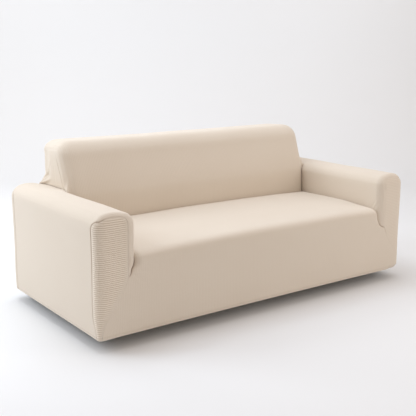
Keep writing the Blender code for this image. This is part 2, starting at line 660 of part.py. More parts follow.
def make_cloth(name, patches, material, outward, side=1):
    """One piece of cloth: grids bent into shape, welded, faced outwards and thickened inwards."""
    bm = bmesh.new()
    for points, cut in patches:
        add_patch(bm, points, cut)
    bmesh.ops.remove_doubles(bm, verts=bm.verts, dist=WELD)
    trim_rim(bm)
    bmesh.ops.scale(bm, vec=(side, 1.0, 1.0), verts=bm.verts)
    largest = max(bm.faces, key=lambda face: face.calc_area())
    largest.normal_update()
    if largest.normal.dot(outward(largest.calc_center_median())) < 0.0:
        bmesh.ops.reverse_faces(bm, faces=bm.faces)
    mesh = bpy.data.meshes.new(name)
    bm.to_mesh(mesh)
    bm.free()
    mesh.materials.append(material)
    mesh.shade_smooth()
    cloth = bpy.data.objects.new(name, mesh)
    solid = cloth.modifiers.new("Cloth thickness", "SOLIDIFY")
    solid.thickness = CLOTH
    solid.offset = -1.0
    return cloth


def cloth_material(name, colour):
    material = bpy.data.materials.new(name)
    material.use_nodes = True
    shader = material.node_tree.nodes["Principled BSDF"]
    shader.inputs["Base Color"].default_value = colour
    shader.inputs["Roughness"].default_value = 0.9
    shader.inputs["Metallic"].default_value = 0.0
    return material


def build():
    for old in list(bpy.data.objects):
        bpy.data.objects.remove(old, do_unlink=True)
    collection = bpy.data.collections.new("sofa_slipcover")
    bpy.context.scene.collection.children.link(collection)
    frame = bpy.data.objects.new("cover_frame", None)
    frame.location = (0.0, -HANG_Y, CLOTH - back_skin(0.0, HANG_Y, BACK_TOP).z)
    collection.objects.link(frame)
    cream = cloth_material("cream_knit", CREAM)
    ribbed = cloth_material("ribbed_knit", FACING_CREAM)

    def hang(name, patches, material, outward, side=1):
        cloth = make_cloth(name, patches, material, outward, side)
        collection.objects.link(cloth)
        cloth.parent = frame

    for side, word in ((-1, "left"), (1, "right")):
        def away(p, middle=Vector((side * 0.9, 0.5, 0.2))):
            return p - middle
        hang(f"arm_cover_{word}", [arm_cover_points()], cream, away, side)
        hang(f"arm_facing_{word}", [facing_points()], ribbed, away, side)
    hang("seat_and_apron", [seat_points()], cream, lambda p: Vector((0.0, -1.0, 1.0)))
    hang("inside_back", inside_back_points(), cream, lambda p: Vector((0.0, -1.0, 0.0)))
    hang("outside_back", outside_back_points(), cream, lambda p: Vector((0.0, 1.0, 0.0)))


build()
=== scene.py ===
# %% [markdown]
# # A fitted stretch slipcover for a three-seat sofa
# The cover is sewn from seven pieces of cream stretch knit, and is seen in the shape that it takes when it
# is pulled on. Nothing fills it here, so it is a hollow skin. Each piece of cloth gets a fine sheet in place
# of its coarse solid, with its seams, its hem, its pulled creases and its knit. Everything is in metres.

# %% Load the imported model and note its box
import math

import bmesh
import bpy
import numpy as np
from mathutils import Matrix, Vector
from mathutils.kdtree import KDTree


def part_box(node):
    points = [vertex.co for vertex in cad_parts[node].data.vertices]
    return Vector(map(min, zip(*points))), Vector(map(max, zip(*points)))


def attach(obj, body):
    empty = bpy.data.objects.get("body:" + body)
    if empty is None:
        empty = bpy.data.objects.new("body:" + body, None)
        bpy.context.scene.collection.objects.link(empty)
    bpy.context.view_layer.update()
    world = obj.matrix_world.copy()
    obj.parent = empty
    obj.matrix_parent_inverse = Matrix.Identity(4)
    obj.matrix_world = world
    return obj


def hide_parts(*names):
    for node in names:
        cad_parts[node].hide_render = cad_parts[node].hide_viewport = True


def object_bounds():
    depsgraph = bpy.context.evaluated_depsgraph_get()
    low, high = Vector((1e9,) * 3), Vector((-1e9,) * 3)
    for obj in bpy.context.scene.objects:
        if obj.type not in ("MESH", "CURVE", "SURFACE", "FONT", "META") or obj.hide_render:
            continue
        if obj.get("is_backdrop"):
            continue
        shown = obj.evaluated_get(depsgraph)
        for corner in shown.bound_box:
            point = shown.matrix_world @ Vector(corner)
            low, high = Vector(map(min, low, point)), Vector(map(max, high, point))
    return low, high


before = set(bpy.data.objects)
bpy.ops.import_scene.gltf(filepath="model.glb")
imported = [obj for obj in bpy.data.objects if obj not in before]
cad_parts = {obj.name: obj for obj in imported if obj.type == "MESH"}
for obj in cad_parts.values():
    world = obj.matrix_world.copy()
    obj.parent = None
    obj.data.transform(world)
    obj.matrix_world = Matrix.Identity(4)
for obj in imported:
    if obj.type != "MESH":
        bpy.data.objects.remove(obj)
cad_low, cad_high = (Vector(corner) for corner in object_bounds())

# %% [markdown]
# ## The sizes that the frame gives
# The solids are measured once and all later values come from them. The cloth is laid out from the middle of
# the front hem: x to the right, y to the rear, z up. `TO_FRAME` moves a point from there into the frame.

# %% Sizes of the dressed form
TO_FRAME = Vector((0.0, cad_low.y, cad_low.z))
HALF_WIDTH = cad_high.x
DEPTH = cad_high.y - cad_low.y
BACK_TOP = cad_high.z - cad_low.z
ARM_CROWN = 0.011        # how much higher an arm's top is in its middle
ARM_TOP = round(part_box("arm_cover_right")[1][2] - cad_low.z - ARM_CROWN, 4)
ARM_INSIDE = 0.800       # from the middle to an arm's inner side
print(f"half width {HALF_WIDTH:.3f}, depth {DEPTH:.3f}, back {BACK_TOP:.3f}, arms {ARM_TOP:.3f} high")

# %% [markdown]
# ## The camera
# The cover is seen from the front left and a little above, with a long lens, so its lines hardly
# converge. The camera is given by its place and by the turn, tilt and roll of its line of sight.

# %% Camera
SENSOR = 36.0            # millimetres
FOCAL = 64.73            # millimetres
CAMERA_AT = Vector((-2.4467, -2.7711, 1.2640))
CAMERA_TURN = math.radians(36.31)   # from straight ahead towards the right
CAMERA_TILT = math.radians(12.02)   # downwards
CAMERA_ROLL = math.radians(0.145)

lens = bpy.data.cameras.new("Camera")
lens.sensor_width = SENSOR
lens.lens = FOCAL
camera = bpy.data.objects.new("Camera", lens)
camera.matrix_world = (Matrix.Translation(CAMERA_AT + TO_FRAME) @ Matrix.Rotation(-CAMERA_TURN, 4, "Z")
                       @ Matrix.Rotation(math.pi / 2.0 - CAMERA_TILT, 4, "X")
                       @ Matrix.Rotation(CAMERA_ROLL, 4, "Z"))
bpy.context.scene.collection.objects.link(camera)
bpy.context.scene.camera = camera
print("camera at", [round(v, 3) for v in camera.location])

# %% [markdown]
# ## Shader maths as Python
# A small class wraps a node's output, so that a pattern can be written as an expression. Each operator adds
# the Math node that it stands for. Colours go through Mix nodes.

# %% Shader helper
class Wire:
    """One output socket in a material, with arithmetic."""

    def __init__(self, tree, socket):
        self.tree, self.socket = tree, socket

    def math(self, operation, *others):
        node = self.tree.nodes.new("ShaderNodeMath")
        node.operation = operation
        for place, value in enumerate((self, *others)):
            plug(self.tree, value, node.inputs[place])
        return Wire(self.tree, node.outputs[0])

    def __add__(self, other):
        return self.math("ADD", other)

    def __sub__(self, other):
        return self.math("SUBTRACT", other)

    def __rsub__(self, other):
        return self * -1.0 + other

    def __mul__(self, other):
        return self.math("MULTIPLY", other)

    __radd__ = __add__
    __rmul__ = __mul__

    def clamp(self, most=1.0):
        return self.math("MAXIMUM", 0.0).math("MINIMUM", most)

    def wave(self, pitch):
        """A sine from 0 to 1 that repeats once for each pitch."""
        return (self * (2.0 * math.pi / pitch)).math("SINE") * 0.5 + 0.5


def plug(tree, value, socket):
    if isinstance(value, Wire):
        tree.links.new(value.socket, socket)
    else:
        socket.default_value = value


def wire(tree, kind, settings=None, inputs=None, output=0):
    """Add a node: its settings first, then the values or links of its sockets."""
    node = tree.nodes.new(kind)
    for name, value in (settings or {}).items():
        setattr(node, name, value)
    for place, value in (inputs or {}).items():
        plug(tree, value, node.inputs[place])
    return Wire(tree, node.outputs[output])


def blend_colours(tree, share, first, second):
    return wire(tree, "ShaderNodeMix", {"data_type": "RGBA"}, {0: share, 6: first, 7: second}, output=2)


print("operators of a wire: + - *, clamp and wave")

# %% [markdown]
# ## The knit
# The cover is a fine stretch knit of yarn with a soft, matt face. Its ribs run along the cloth, so the
# pattern follows each sheet's own UV map, which is laid out in metres: u runs across the ribs and v along
# them. The arm fronts carry the same cloth turned by a quarter, so that their ribs lie level. Two attributes
# that each sheet gets when it is sewn say how much painted shade its seams and inside corners get, and how
# far its ribs stand out.

# %% Knit material
CREAM, CREAM_SHADE = (0.717, 0.643, 0.548, 1.0), (0.663, 0.580, 0.477, 1.0)
# Painted light on the tops of the arm fronts' ribs and painted shade between them, added to their relief.
RIB_LIGHT, RIB_SHADE = (0.862, 0.782, 0.677, 1.0), (0.590, 0.506, 0.405, 1.0)
# Painted shade: the brown of a seam's groove, and the near black of the deep shadow in a slot.
PAINTED_SEAM_SHADE, PAINTED_SLOT_SHADOW = (0.33, 0.22, 0.14, 1.0), (0.10, 0.055, 0.030, 1.0)
RIB_PITCH = 0.0090
WALE_PITCH = 0.0030      # one column of stitches
COURSE_PITCH = 0.0038    # one row of stitches
DARKENED_BY = {"ribs": 0.22, "stitches": 0.05, "dye": 0.35, "yarn": 0.16}
RAISED_BY = {"ribs": 0.00030, "stitches": 0.00012, "yarn": 0.00018}
DYE_SCALE, YARN_SCALE = 3.5, 160.0
# How much painted seam shade a seam gets for its strength, and the most of it.
SEAM_SHARE, SEAM_MOST = 0.5, 0.7  # how brown a seam gets for its strength
# Seams stronger than this lie deep in a slot and get a painted dark shadow as well.
SLOT_FROM, SLOT_MOST = 1.3, 0.9   # a stronger seam than this lies deep in a slot and is darker still


def knit(name):
    """A stretch knit: raised ribs, its small stitches, a slightly uneven dye, and painted shade along the
    seams and in the slots.
    """
    material = bpy.data.materials.new(name)
    material.use_nodes = True
    tree = material.node_tree
    shader = tree.nodes["Principled BSDF"]
    for socket, value in (("Sheen Weight", 0.25), ("Sheen Roughness", 0.5), ("Specular IOR Level", 0.25)):
        shader.inputs[socket].default_value = value

    cloth = wire(tree, "ShaderNodeUVMap", {"uv_map": "cloth"})
    u, v = (wire(tree, "ShaderNodeSeparateXYZ", None, {0: cloth}, output=k) for k in (0, 1))
    place = wire(tree, "ShaderNodeTexCoord", output=3)
    seam = wire(tree, "ShaderNodeAttribute", {"attribute_name": "seam"}, output=2)
    ribbed = wire(tree, "ShaderNodeAttribute", {"attribute_name": "ribbed"}, output=2)

    dye = wire(tree, "ShaderNodeTexNoise", None, {"Vector": place, "Scale": DYE_SCALE, "Detail": 3.0})
    yarn = wire(tree, "ShaderNodeTexNoise", None, {"Vector": cloth, "Scale": YARN_SCALE, "Detail": 2.0})
    ribs = u.wave(RIB_PITCH)
    stitches = u.wave(WALE_PITCH) * v.wave(COURSE_PITCH)

    dark = (1.0 - ribs) * DARKENED_BY["ribs"] + (1.0 - stitches) * DARKENED_BY["stitches"] \
        + (dye - 0.5) * DARKENED_BY["dye"] + (yarn - 0.5) * DARKENED_BY["yarn"]
    colour = blend_colours(tree, dark.clamp(), CREAM, CREAM_SHADE)
    # On the arm fronts the ribs get painted light on their tops and painted shade between them.
    colour = blend_colours(tree, ribbed, colour, blend_colours(tree, ribs, RIB_SHADE, RIB_LIGHT))
    # Painted shade along the seams, then a darker painted shadow deep in the slots.
    colour = blend_colours(tree, (seam * SEAM_SHARE).clamp(SEAM_MOST), colour, PAINTED_SEAM_SHADE)
    colour = blend_colours(tree, (seam - SLOT_FROM).clamp(SLOT_MOST), colour, PAINTED_SLOT_SHADOW)
    plug(tree, colour, shader.inputs["Base Color"])
    plug(tree, 0.86 + yarn * 0.10, shader.inputs["Roughness"])

    height = ribs * RAISED_BY["ribs"] + stitches * RAISED_BY["stitches"] + yarn * RAISED_BY["yarn"]
    relief = wire(tree, "ShaderNodeBump", None, {"Strength": 1.0, "Distance": 1.0, "Height": height})
    plug(tree, relief, shader.inputs["Normal"])
    return material


plain_knit, ribbed_knit = knit("cream_knit"), knit("ribbed_knit")
print("materials:", plain_knit.name, ribbed_knit.name)

# %% [markdown]
# ## The form of the cloth
# Pulled-on stretch cloth is rounded at every edge. Its form is put together from boxes whose edges give way
# by a set softness. `skin` takes points of the sharp box and moves them onto the rounded one, so a seam can
# be described by simple lines on a plain box.

# %% Softened boxes
ARM_SOFT_OUT, ARM_SOFT_IN, ARM_SOFT_ENDS, ARM_SOFT_TOP = 0.056, 0.044, 0.036, 0.056
BACK_SOFT_SIDES, BACK_SOFT_FRONT, BACK_SOFT_REAR, BACK_SOFT_TOP = 0.075, 0.060, 0.045, 0.070
BACK_HALF_WIDTH = 0.820
CREASE_X = 0.815         # where an arm's top meets the end of the back
BACK_FRONT = 0.715       # front of the back at its top
BACK_LEAN = 0.210        # how far it leans back for each metre of height
BACK_LEAN_FADES = 0.900  # behind this the back's ends stay upright
BACK_TOP_FALL = 0.007    # how much lower the back's top is at its rear edge
BACK_TOP_FALL_OVER = (0.790, 0.930)  # where that fall starts and ends, behind the front
REAR_SEAM = 0.715        # height on the rear of the back
ARM_SHARP_FROM = 0.691   # behind this the arm's inner top edge is covered by the back, and is sharp
ARM_SHARP_BY = 0.715
ARM_SHARP_SOFT = 0.006


def mix(a, b, share):
    return a + (b - a) * share


def share_of(value, start, end):
    """How far a value, or each of many, is on its way from the start to the end: 0 to 1."""
    return np.clip((value - start) / (end - start), 0.0, 1.0)


def smooth(value, start, end):
    """The same, but slow at both ends."""
    share = share_of(value, start, end)
    return share * share * (3.0 - 2.0 * share)


def rounded(soft, steps):
    """Distances from a sharp edge at which a rounding of this size has even steps, up to the edge."""
    return [soft * (1.0 - math.tan(math.radians(45.0 * k / steps))) for k in range(steps + 1)]


def skin(q, low, high, soft_low, soft_high):
    """The point of a soft-edged box that stands for q on the sharp box."""
    core, lean, size = [], [], []
    for k in range(3):
        first, last = low[k] + soft_low[k], high[k] - soft_high[k]
        core.append(min(max(q[k], first), last))
        size.append(soft_low[k] if q[k] < first else soft_high[k])
        lean.append((q[k] - core[k]) / size[k] if size[k] else 0.0)
    length = math.sqrt(sum(v * v for v in lean)) or 1.0
    return Vector([core[k] + size[k] * lean[k] / length for k in range(3)])


def arm_skin(x, y, z):
    """The right arm; behind the back's front its inner top edge is sharp, where the back covers it."""
    inner = mix(ARM_SOFT_IN, ARM_SHARP_SOFT, smooth(y, ARM_SHARP_FROM, ARM_SHARP_BY))
    p = skin((x, y, z), (ARM_INSIDE, 0.0, -1.0), (HALF_WIDTH, DEPTH, ARM_TOP),
             (inner, ARM_SOFT_ENDS, 0.0), (ARM_SOFT_OUT, ARM_SOFT_ENDS, ARM_SOFT_TOP))
    across = share_of(p.x, CREASE_X, HALF_WIDTH)
    p.z += ARM_CROWN * math.sin(math.pi * across) ** 2 * smooth(p.z, ARM_TOP - ARM_SOFT_TOP, ARM_TOP)
    return p


def back_front(z):
    return BACK_FRONT - BACK_LEAN * (BACK_TOP - z) if z < BACK_TOP else BACK_FRONT


def back_skin(x, y, z):
    """The back rest, a soft box whose front leans."""
    p = skin((x, y, z), (-BACK_HALF_WIDTH, BACK_FRONT, -1.0), (BACK_HALF_WIDTH, DEPTH, BACK_TOP),
             (BACK_SOFT_SIDES, BACK_SOFT_FRONT, 0.0), (BACK_SOFT_SIDES, BACK_SOFT_REAR, BACK_SOFT_TOP))
    share = share_of(p.y, BACK_LEAN_FADES, BACK_FRONT + BACK_SOFT_FRONT)
    p.y += (back_front(p.z) - BACK_FRONT) * share
    p.z -= BACK_TOP_FALL * smooth(p.y, *BACK_TOP_FALL_OVER) * smooth(p.z, REAR_SEAM, BACK_TOP)
    return p


def end_rounding(x):
    """How far the back's front gives way towards its ends."""
    reach = share_of(abs(x), BACK_HALF_WIDTH - BACK_SOFT_SIDES, BACK_HALF_WIDTH)
    return BACK_SOFT_FRONT * (1.0 - math.sqrt(1.0 - reach ** 2))


print("an arm's top outer edge lies at", [round(v, 3) for v in arm_skin(HALF_WIDTH, 0.5 * DEPTH, ARM_TOP)])

# %% [markdown]
# ## The hem
# Every piece ends below in the same hem: the cloth is turned in over an elastic, so its lower edge is a
# small roll with a lip behind it. It could be a band of its own, but the cloth isn't cut there, so each
# net gets three more rows below its foot instead.

# %% Hem
HEM_ROLL = 0.007
HEM_LIP = 0.012
HEM_LIP_LIFT = 0.001


def flat_normal(x, y):
    """The level way out of the cover's wall at its foot."""
    x_in = math.copysign(max(abs(x) - (HALF_WIDTH - ARM_SOFT_OUT), 0.0) / ARM_SOFT_OUT, x)
    front = min(y - ARM_SOFT_ENDS, 0.0) / ARM_SOFT_ENDS
    rear = max(y - (DEPTH - ARM_SOFT_ENDS), 0.0) / ARM_SOFT_ENDS
    return Vector((x_in / ARM_SOFT_OUT, (front + rear) / ARM_SOFT_ENDS, 0.0)).normalized()


def hem_points(wall):
    """The points under a wall's foot: the turned-in lip, the roll and the wall just above it."""
    half = HEM_ROLL * (1.0 - math.cos(math.radians(45.0)))
    inward = ((HEM_ROLL + HEM_LIP, HEM_LIP_LIFT), (HEM_ROLL, 0.0), (half, half))
    outward = flat_normal(wall.x, wall.y)
    return [Vector((wall.x, wall.y, height)) - outward * distance for distance, height in inward]


def with_hem(grid):
    """A net with the three rows of its hem before its lowest row."""
    return [list(row) for row in zip(*(hem_points(wall) for wall in grid[0]))] + grid


print("the hem turns in by", HEM_ROLL + HEM_LIP)

# %% [markdown]
# ## Where the seams run
# Neighbouring pieces must meet on the same line. So each seam is written down once, as a curve on the sharp
# boxes, and both pieces that meet there are made from it.

# %% Seams
OUTER_SEAM = 0.055       # behind an arm's front, on its outer side
OUTER_SEAM_TURNS = 0.500  # height at which that seam starts to curve to the front edge
INNER_SEAM = 0.845       # from the middle, on an arm's front
INNER_SEAM_TURN = 0.030
FRONT_TURN_BY = 0.62     # the share of the turn down the inner edge at which the slot takes over
ARM_PLAIN_Y = 0.600      # behind the front: here an arm has its plain section
BACK_FOOT_Y = 0.640      # about where the seat meets the back
COMMON_ROW = 0.100       # behind this all the lines along an arm run level
WIDE_FRONT = 0.270       # height at which the apron starts to spread under the arms
EVEN_FRONT = 0.130       # below this the facing's columns are evenly spread
SEAT_MIDDLE = 0.390      # above the hem
SEAT_CROWN = 0.010       # how much lower the seat is beside the arms
SEAT_RISE = 0.009        # how much higher it is behind its front edge
SEAT_RISE_OVER = (0.03, 0.30)  # where that rise starts and ends, behind the front
SEAT_DROOP = 0.006       # how much lower its front edge is
SEAT_DROOP_OVER = (0.05, 0.30)
SEAT_DROOP_MIDDLE = 0.4  # the share of the droop that is there in the middle too

# The seam between an arm and the seat, from the front seam of the arm back along the slot to the crease.
# over_top, inner: how far behind the arm's front the line lies, over the arm's top and on its inner side;
# a negative value lies on the arm's front. low, seam_z: the same at the seam, and the seam's height.
# mid_y, mid_z: the same line at the middle of the seat or apron.
SLOT_ROWS = (
    # over_top, inner, low, seam_z, mid_y, mid_z
    (0.0000, -0.045, -0.045, 0.270, 0.0000, 0.270),
    (0.0040, -0.038, -0.036, 0.275, 0.0000, 0.276),
    (0.0100, -0.022, -0.020, 0.281, 0.0000, 0.283),
    (0.0155, 0.0000, 0.0000, 0.288, 0.0000, 0.291),
    (0.0211, 0.0150, 0.0120, 0.296, 0.0000, 0.300),
    (0.0275, 0.0300, 0.0240, 0.307, 0.0000, 0.314),
    (0.0360, 0.0450, 0.0320, 0.321, 0.0000, 0.333),
    (0.0470, 0.0560, 0.0350, 0.336, 0.0030, 0.354),
    (0.0620, 0.0700, 0.0420, 0.350, 0.0120, 0.371),
    (0.0800, 0.0850, 0.0560, 0.359, 0.0290, 0.382),
    (0.1000, 0.1000, 0.0760, 0.363, 0.0560, 0.387),
)
SEAT_ROWS_Y = (0.160, 0.250, 0.350, 0.450, 0.530, 0.585)
SEAM_UNDER_EDGE = 0.014  # the seat dips to its seams beside the arms and the back

# The apron's side seam on the front: its height, and its distance from the middle.
SPREAD_ROWS = (
    (HEM_ROLL, 0.974), (0.030, 0.971), (0.080, 0.957), (0.130, 0.928), (0.180, 0.892), (0.225, 0.865),
    (0.270, 0.845),
)

# The seam on an end of the back, in the plane of that end: from the arm, up and back to the rear.
END_SEAM = np.array((
    # behind the front, height
    (0.7700, 0.550), (0.7720, 0.600), (0.7760, 0.653), (0.7800, 0.700), (0.7850, 0.735),
    (0.7980, 0.751), (0.8250, 0.757), (0.8700, 0.754), (0.9200, 0.739), (0.9450, 0.715),
))
END_SEAM_FOOT = 0.724    # behind the front: where that seam starts on the arm
END_SEAM_CORNER = 5      # the row above at which the rear piece has its corner
END_FRACTIONS = (0.0, 0.32, 0.60, 0.82, 0.94, 1.0)


def outer_seam_depth(z):
    """How far behind the front the outer seam lies at this height."""
    return OUTER_SEAM * (1.0 - share_of(z, OUTER_SEAM_TURNS, ARM_TOP) ** 2)


OUTER_HEIGHTS = (HEM_ROLL, 0.030, 0.100, 0.170, 0.220, 0.270, 0.360, 0.450, 0.500, 0.520, 0.5375, 0.550,
                 ARM_TOP)
TOP_PLACES = (0.9880, 0.9736, 0.955, 0.915, 0.875, 0.838, 0.826, CREASE_X, ARM_INSIDE)
INNER_HEIGHTS = (0.534, 0.513)
INNER_SHARES = (0.35, 0.70, 0.92, 1.0)
INNER_TURN_START = 0.875


def inner_seam_point(turn):
    """The inner seam on an arm's front, as it turns down from the top edge."""
    angle = math.radians(90.0 * turn)
    return (INNER_TURN_START - INNER_SEAM_TURN * math.sin(angle),
            INNER_HEIGHTS[-1] + (ARM_TOP - INNER_HEIGHTS[-1]) * math.cos(angle))


def slot_point(low, seam_z):
    """A point of the seam between an arm and the seat."""
    return arm_skin(ARM_INSIDE - min(low, 0.0), max(low, 0.0), seam_z)


def seat_height(x, y):
    side = min(abs(x) / ARM_INSIDE, 1.0)
    droop = SEAT_DROOP * (1.0 - smooth(y, *SEAT_DROOP_OVER)) * mix(SEAT_DROOP_MIDDLE, 1.0, side ** 4)
    return SEAT_MIDDLE - SEAT_CROWN * side ** 2 - droop + SEAT_RISE * smooth(y, *SEAT_RISE_OVER)


def back_foot(x):
    """The height of the seam between the seat and the back."""
    return seat_height(x, BACK_FOOT_Y) - SEAM_UNDER_EDGE


def half_width_at(z):
    """How far from the middle the apron's side seam lies at this height."""
    return np.interp(z, *zip(*SPREAD_ROWS))


def levelled(z, top):
    """A row's height above the foot of the slot, in a column that ends at top instead of the arm's top."""
    return z if z <= WIDE_FRONT else mix(WIDE_FRONT, top, (z - WIDE_FRONT) / (ARM_TOP - WIDE_FRONT))


print("the slot's seam starts at", [round(v, 3) for v in slot_point(*SLOT_ROWS[0][2:4])])

# %% [markdown]
# ## The arm cover
# One cloth lies over the outer side, the top and the inner side of an arm. Its rows start at the seam
# with the arm's front and run back, and each row goes from the outer hem over the top to the seat.

# %% Arm cover
def across_arm():
    """The lines over an arm from its outer hem to its inner side: x, z and the turn of the inner seam."""
    lines = [(HALF_WIDTH, z, 0.0) for z in OUTER_HEIGHTS]
    run = (INNER_TURN_START - ARM_INSIDE) + (ARM_TOP - INNER_HEIGHTS[-1])
    for x in TOP_PLACES:
        lines.append((x, ARM_TOP, max(INNER_TURN_START - x, 0.0) / run))
    for z in INNER_HEIGHTS:
        lines.append((ARM_INSIDE, z, (INNER_TURN_START - ARM_INSIDE + ARM_TOP - z) / run))
    return lines


ARM_LINES = across_arm()


def arm_front_point(x, z, turn, place, share):
    """A point on a line over the arm: behind its front edge or, for a negative place, on its front."""
    if place >= 0.0 or not share:
        return arm_skin(x, max(place, 0.0), z)
    seam_x, seam_z = inner_seam_point(turn)
    across = -place / ((INNER_SEAM - ARM_INSIDE) * share)
    return arm_skin(mix(x, seam_x, across), 0.0, mix(z, seam_z, across))


def arm_rows():
    """The lines along an arm up to the back's front: over_top, inner, low and seam_z of each."""
    rows = [row[:4] for row in SLOT_ROWS]
    return rows + [(y, y, y, seat_height(ARM_INSIDE, y) - SEAM_UNDER_EDGE) for y in SEAT_ROWS_Y]


def crease_depth(z):
    """Where the back's front meets an arm's inner side."""
    return back_front(z) + end_rounding(ARM_INSIDE)


ARM_CREASE_TOP = arm_skin(CREASE_X, ARM_PLAIN_Y, ARM_TOP)
BEHIND_CREASE = (0.770, 0.830, 0.890)
REAR_ROUNDING = (DEPTH - ARM_SOFT_ENDS, DEPTH - ARM_SOFT_ENDS / 2, DEPTH - ARM_SOFT_ENDS / 6)


def arm_top_crease(y):
    """The crease between an arm's top and the end of the back."""
    share = share_of(y, crease_depth(ARM_CREASE_TOP.z), ARM_SHARP_BY)
    return Vector((mix(ARM_CREASE_TOP.x, CREASE_X, share), y, mix(ARM_CREASE_TOP.z, ARM_TOP, share)))


def arm_cover_points():
    """Rows along the right arm, each from the outer hem over the top, and where the cut-away part starts."""
    grid = []
    top_last = len(OUTER_HEIGHTS) + TOP_PLACES.index(CREASE_X)
    front_rows = arm_rows()
    for over_top, inner, low, seam_z in front_rows:
        row = []
        for x, z, turn in ARM_LINES:
            if x == HALF_WIDTH:
                level = mix(outer_seam_depth(z), COMMON_ROW, over_top / COMMON_ROW)
                row.append(arm_skin(x, max(level, over_top), z))
            else:
                share = smooth(turn, 0.0, FRONT_TURN_BY)
                row.append(arm_front_point(x, z, turn, mix(over_top, inner, share), share))
        grid.append(row + [slot_point(mix(inner, low, share), mix(INNER_HEIGHTS[-1], seam_z, share))
                           for share in INNER_SHARES])
    # the row at the crease with the back's front
    row = [arm_skin(x, ARM_PLAIN_Y, z) for x, z, _ in ARM_LINES]
    for p, (x, _, _) in zip(row, ARM_LINES):
        p.y = crease_depth(ARM_CREASE_TOP.z if x == HALF_WIDTH else min(p.z, ARM_CREASE_TOP.z))
    heights = [mix(INNER_HEIGHTS[-1], back_foot(ARM_INSIDE), share) for share in INNER_SHARES]
    grid.append(row + [arm_skin(ARM_INSIDE, crease_depth(z), z) for z in heights])
    for y in (ARM_SHARP_BY,) + BEHIND_CREASE + REAR_ROUNDING + (DEPTH,):
        row = []
        for x, z, _ in ARM_LINES:
            depth = outer_seam_depth(z) if x == HALF_WIDTH else 0.0
            behind = DEPTH - depth - (DEPTH - y) * (DEPTH - ARM_SHARP_BY - depth) / (DEPTH - ARM_SHARP_BY)
            row.append(arm_skin(x, behind, z))
        row += [arm_skin(ARM_INSIDE, y, z) for z in heights]
        if y <= REAR_ROUNDING[0]:
            row[top_last] = arm_top_crease(y)
        grid.append(row)
    hemmed = [hem_points(row[0]) + row for row in grid]
    return hemmed, (len(front_rows), top_last + len(hemmed[0]) - len(grid[0]))


arm_points, arm_cut = arm_cover_points()
print("arm cover:", len(arm_points), "rows of", len(arm_points[0]), "points")

# %% [markdown]
# ## The arm's front
# The facing is an upright strip with level ribs. It reaches a hand's width round the outer corner, and
# below the slot it narrows, because the apron spreads out under the arm.

# %% Arm facing
FACING_LOW = tuple(z for z, _ in SPREAD_ROWS)
FACING_HIGH = (0.340, 0.420, 0.490, 0.513, 0.5316, 0.548, 0.5545, ARM_TOP)


def facing_columns():
    """Columns of the facing, outer to inner: behind, x and the height at which each one ends."""
    columns = [(outer_seam_depth(z), HALF_WIDTH, z) for z in OUTER_HEIGHTS if z >= OUTER_SEAM_TURNS]
    for x, z, turn in ARM_LINES:
        if z == ARM_TOP and x < HALF_WIDTH and turn == 0.0:
            columns.append((0.0, x, z))
        elif turn > 0.0:
            seam_x, seam_z = inner_seam_point(turn)
            columns.append((0.0, seam_x, seam_z))
    return columns


def facing_points():
    """Rows of the facing from the hem up, each from the outer seam to the inner one."""
    grid = []
    columns = facing_columns()
    corner = [top for _, _, top in columns].index(ARM_TOP)
    for z in FACING_LOW + FACING_HIGH:
        row = []
        for k, (behind, x, top) in enumerate(columns):
            if z <= WIDE_FRONT:
                even = max(k - corner, 0) / (len(columns) - 1 - corner)
                uneven = (HALF_WIDTH - x) / (HALF_WIDTH - INNER_SEAM)
                share = mix(even, uneven, smooth(z, EVEN_FRONT, WIDE_FRONT))
                row.append(arm_skin(mix(HALF_WIDTH, half_width_at(z), share), behind, z))
            else:
                row.append(arm_skin(x, behind, levelled(z, top)))
        grid.append(row)
    return with_hem(grid)


print("arm facing:", len(facing_points()), "rows of", len(facing_columns()), "points")

# %% [markdown]
# ## The back's front line, and the seat
# The seat and the apron are one cloth: up from the front hem, over the soft front edge and back to the
# crease with the back rest. Beside the arms it dives into the slots.

# %% Seat and apron
BACK_PLACES = (0.0, 0.160, 0.320, 0.480, 0.620, 0.700, 0.745, 0.7761)
BACK_TURN = [ARM_INSIDE - back_skin(x, BACK_FRONT, SEAT_MIDDLE).x
             for x in (BACK_HALF_WIDTH, BACK_PLACES[-1], BACK_PLACES[-2])]
ARM_CREASE = {p.z: p.x for p in (arm_skin(ARM_INSIDE, ARM_PLAIN_Y, INNER_HEIGHTS[0]),
                                arm_skin(ARM_INSIDE, ARM_PLAIN_Y, ARM_TOP), ARM_CREASE_TOP)}
FRONT_HEIGHTS = (back_foot(ARM_INSIDE), 0.383, 0.406, 0.450, INNER_HEIGHTS[-1]) + tuple(ARM_CREASE)
FOOT_LEVELS_OUT = (0.377, 0.450)  # heights between which the back's rows turn level
SEAT_EDGE_STEPS = (0.0, BACK_TURN[0], 0.0061, 0.0140, BACK_TURN[1], BACK_TURN[2])
SEAT_PLACES = BACK_PLACES[-3::-1]
SEAT_EDGE_BLEND = 0.035
SEAT_MIDDLE_LIFT = 0.003
DECK_FROM, DECK_BY = 0.335, 0.387  # heights between which the seat's front edge turns into its top

# The seat's last rows: how far each lies before the crease with the back, and below the seat.
CREASE_ROWS = ((0.016, 0.0015), (0.006, 0.005), (0.0, SEAM_UNDER_EDGE))


def front_row(z):
    """The points across the right half of the back's front, from the middle to the crease on the arm."""
    row = []
    for x in BACK_PLACES + (BACK_HALF_WIDTH,):
        p = back_skin(x, BACK_FRONT, z)
        p.z = mix(z, z + back_foot(p.x) - FRONT_HEIGHTS[0], 1.0 - smooth(z, *FOOT_LEVELS_OUT))
        p.y += back_front(p.z) - back_front(z)
        row.append(p)
    return row + [Vector((ARM_CREASE.get(z, ARM_INSIDE), crease_depth(z), z))]


def back_seam_point(x):
    """A point of the seam between the seat and the back, on the same straight steps as the back's foot."""
    row = front_row(FRONT_HEIGHTS[0])
    for a, b in zip(row, row[1:]):
        if x <= b.x:
            return a.lerp(b, (x - a.x) / (b.x - a.x))
    return row[-1]


def mirrored(row):
    """A row from the middle to the right, completed to run from the left to the right."""
    return [Vector((-p.x, p.y, p.z)) for p in reversed(row[1:])] + row


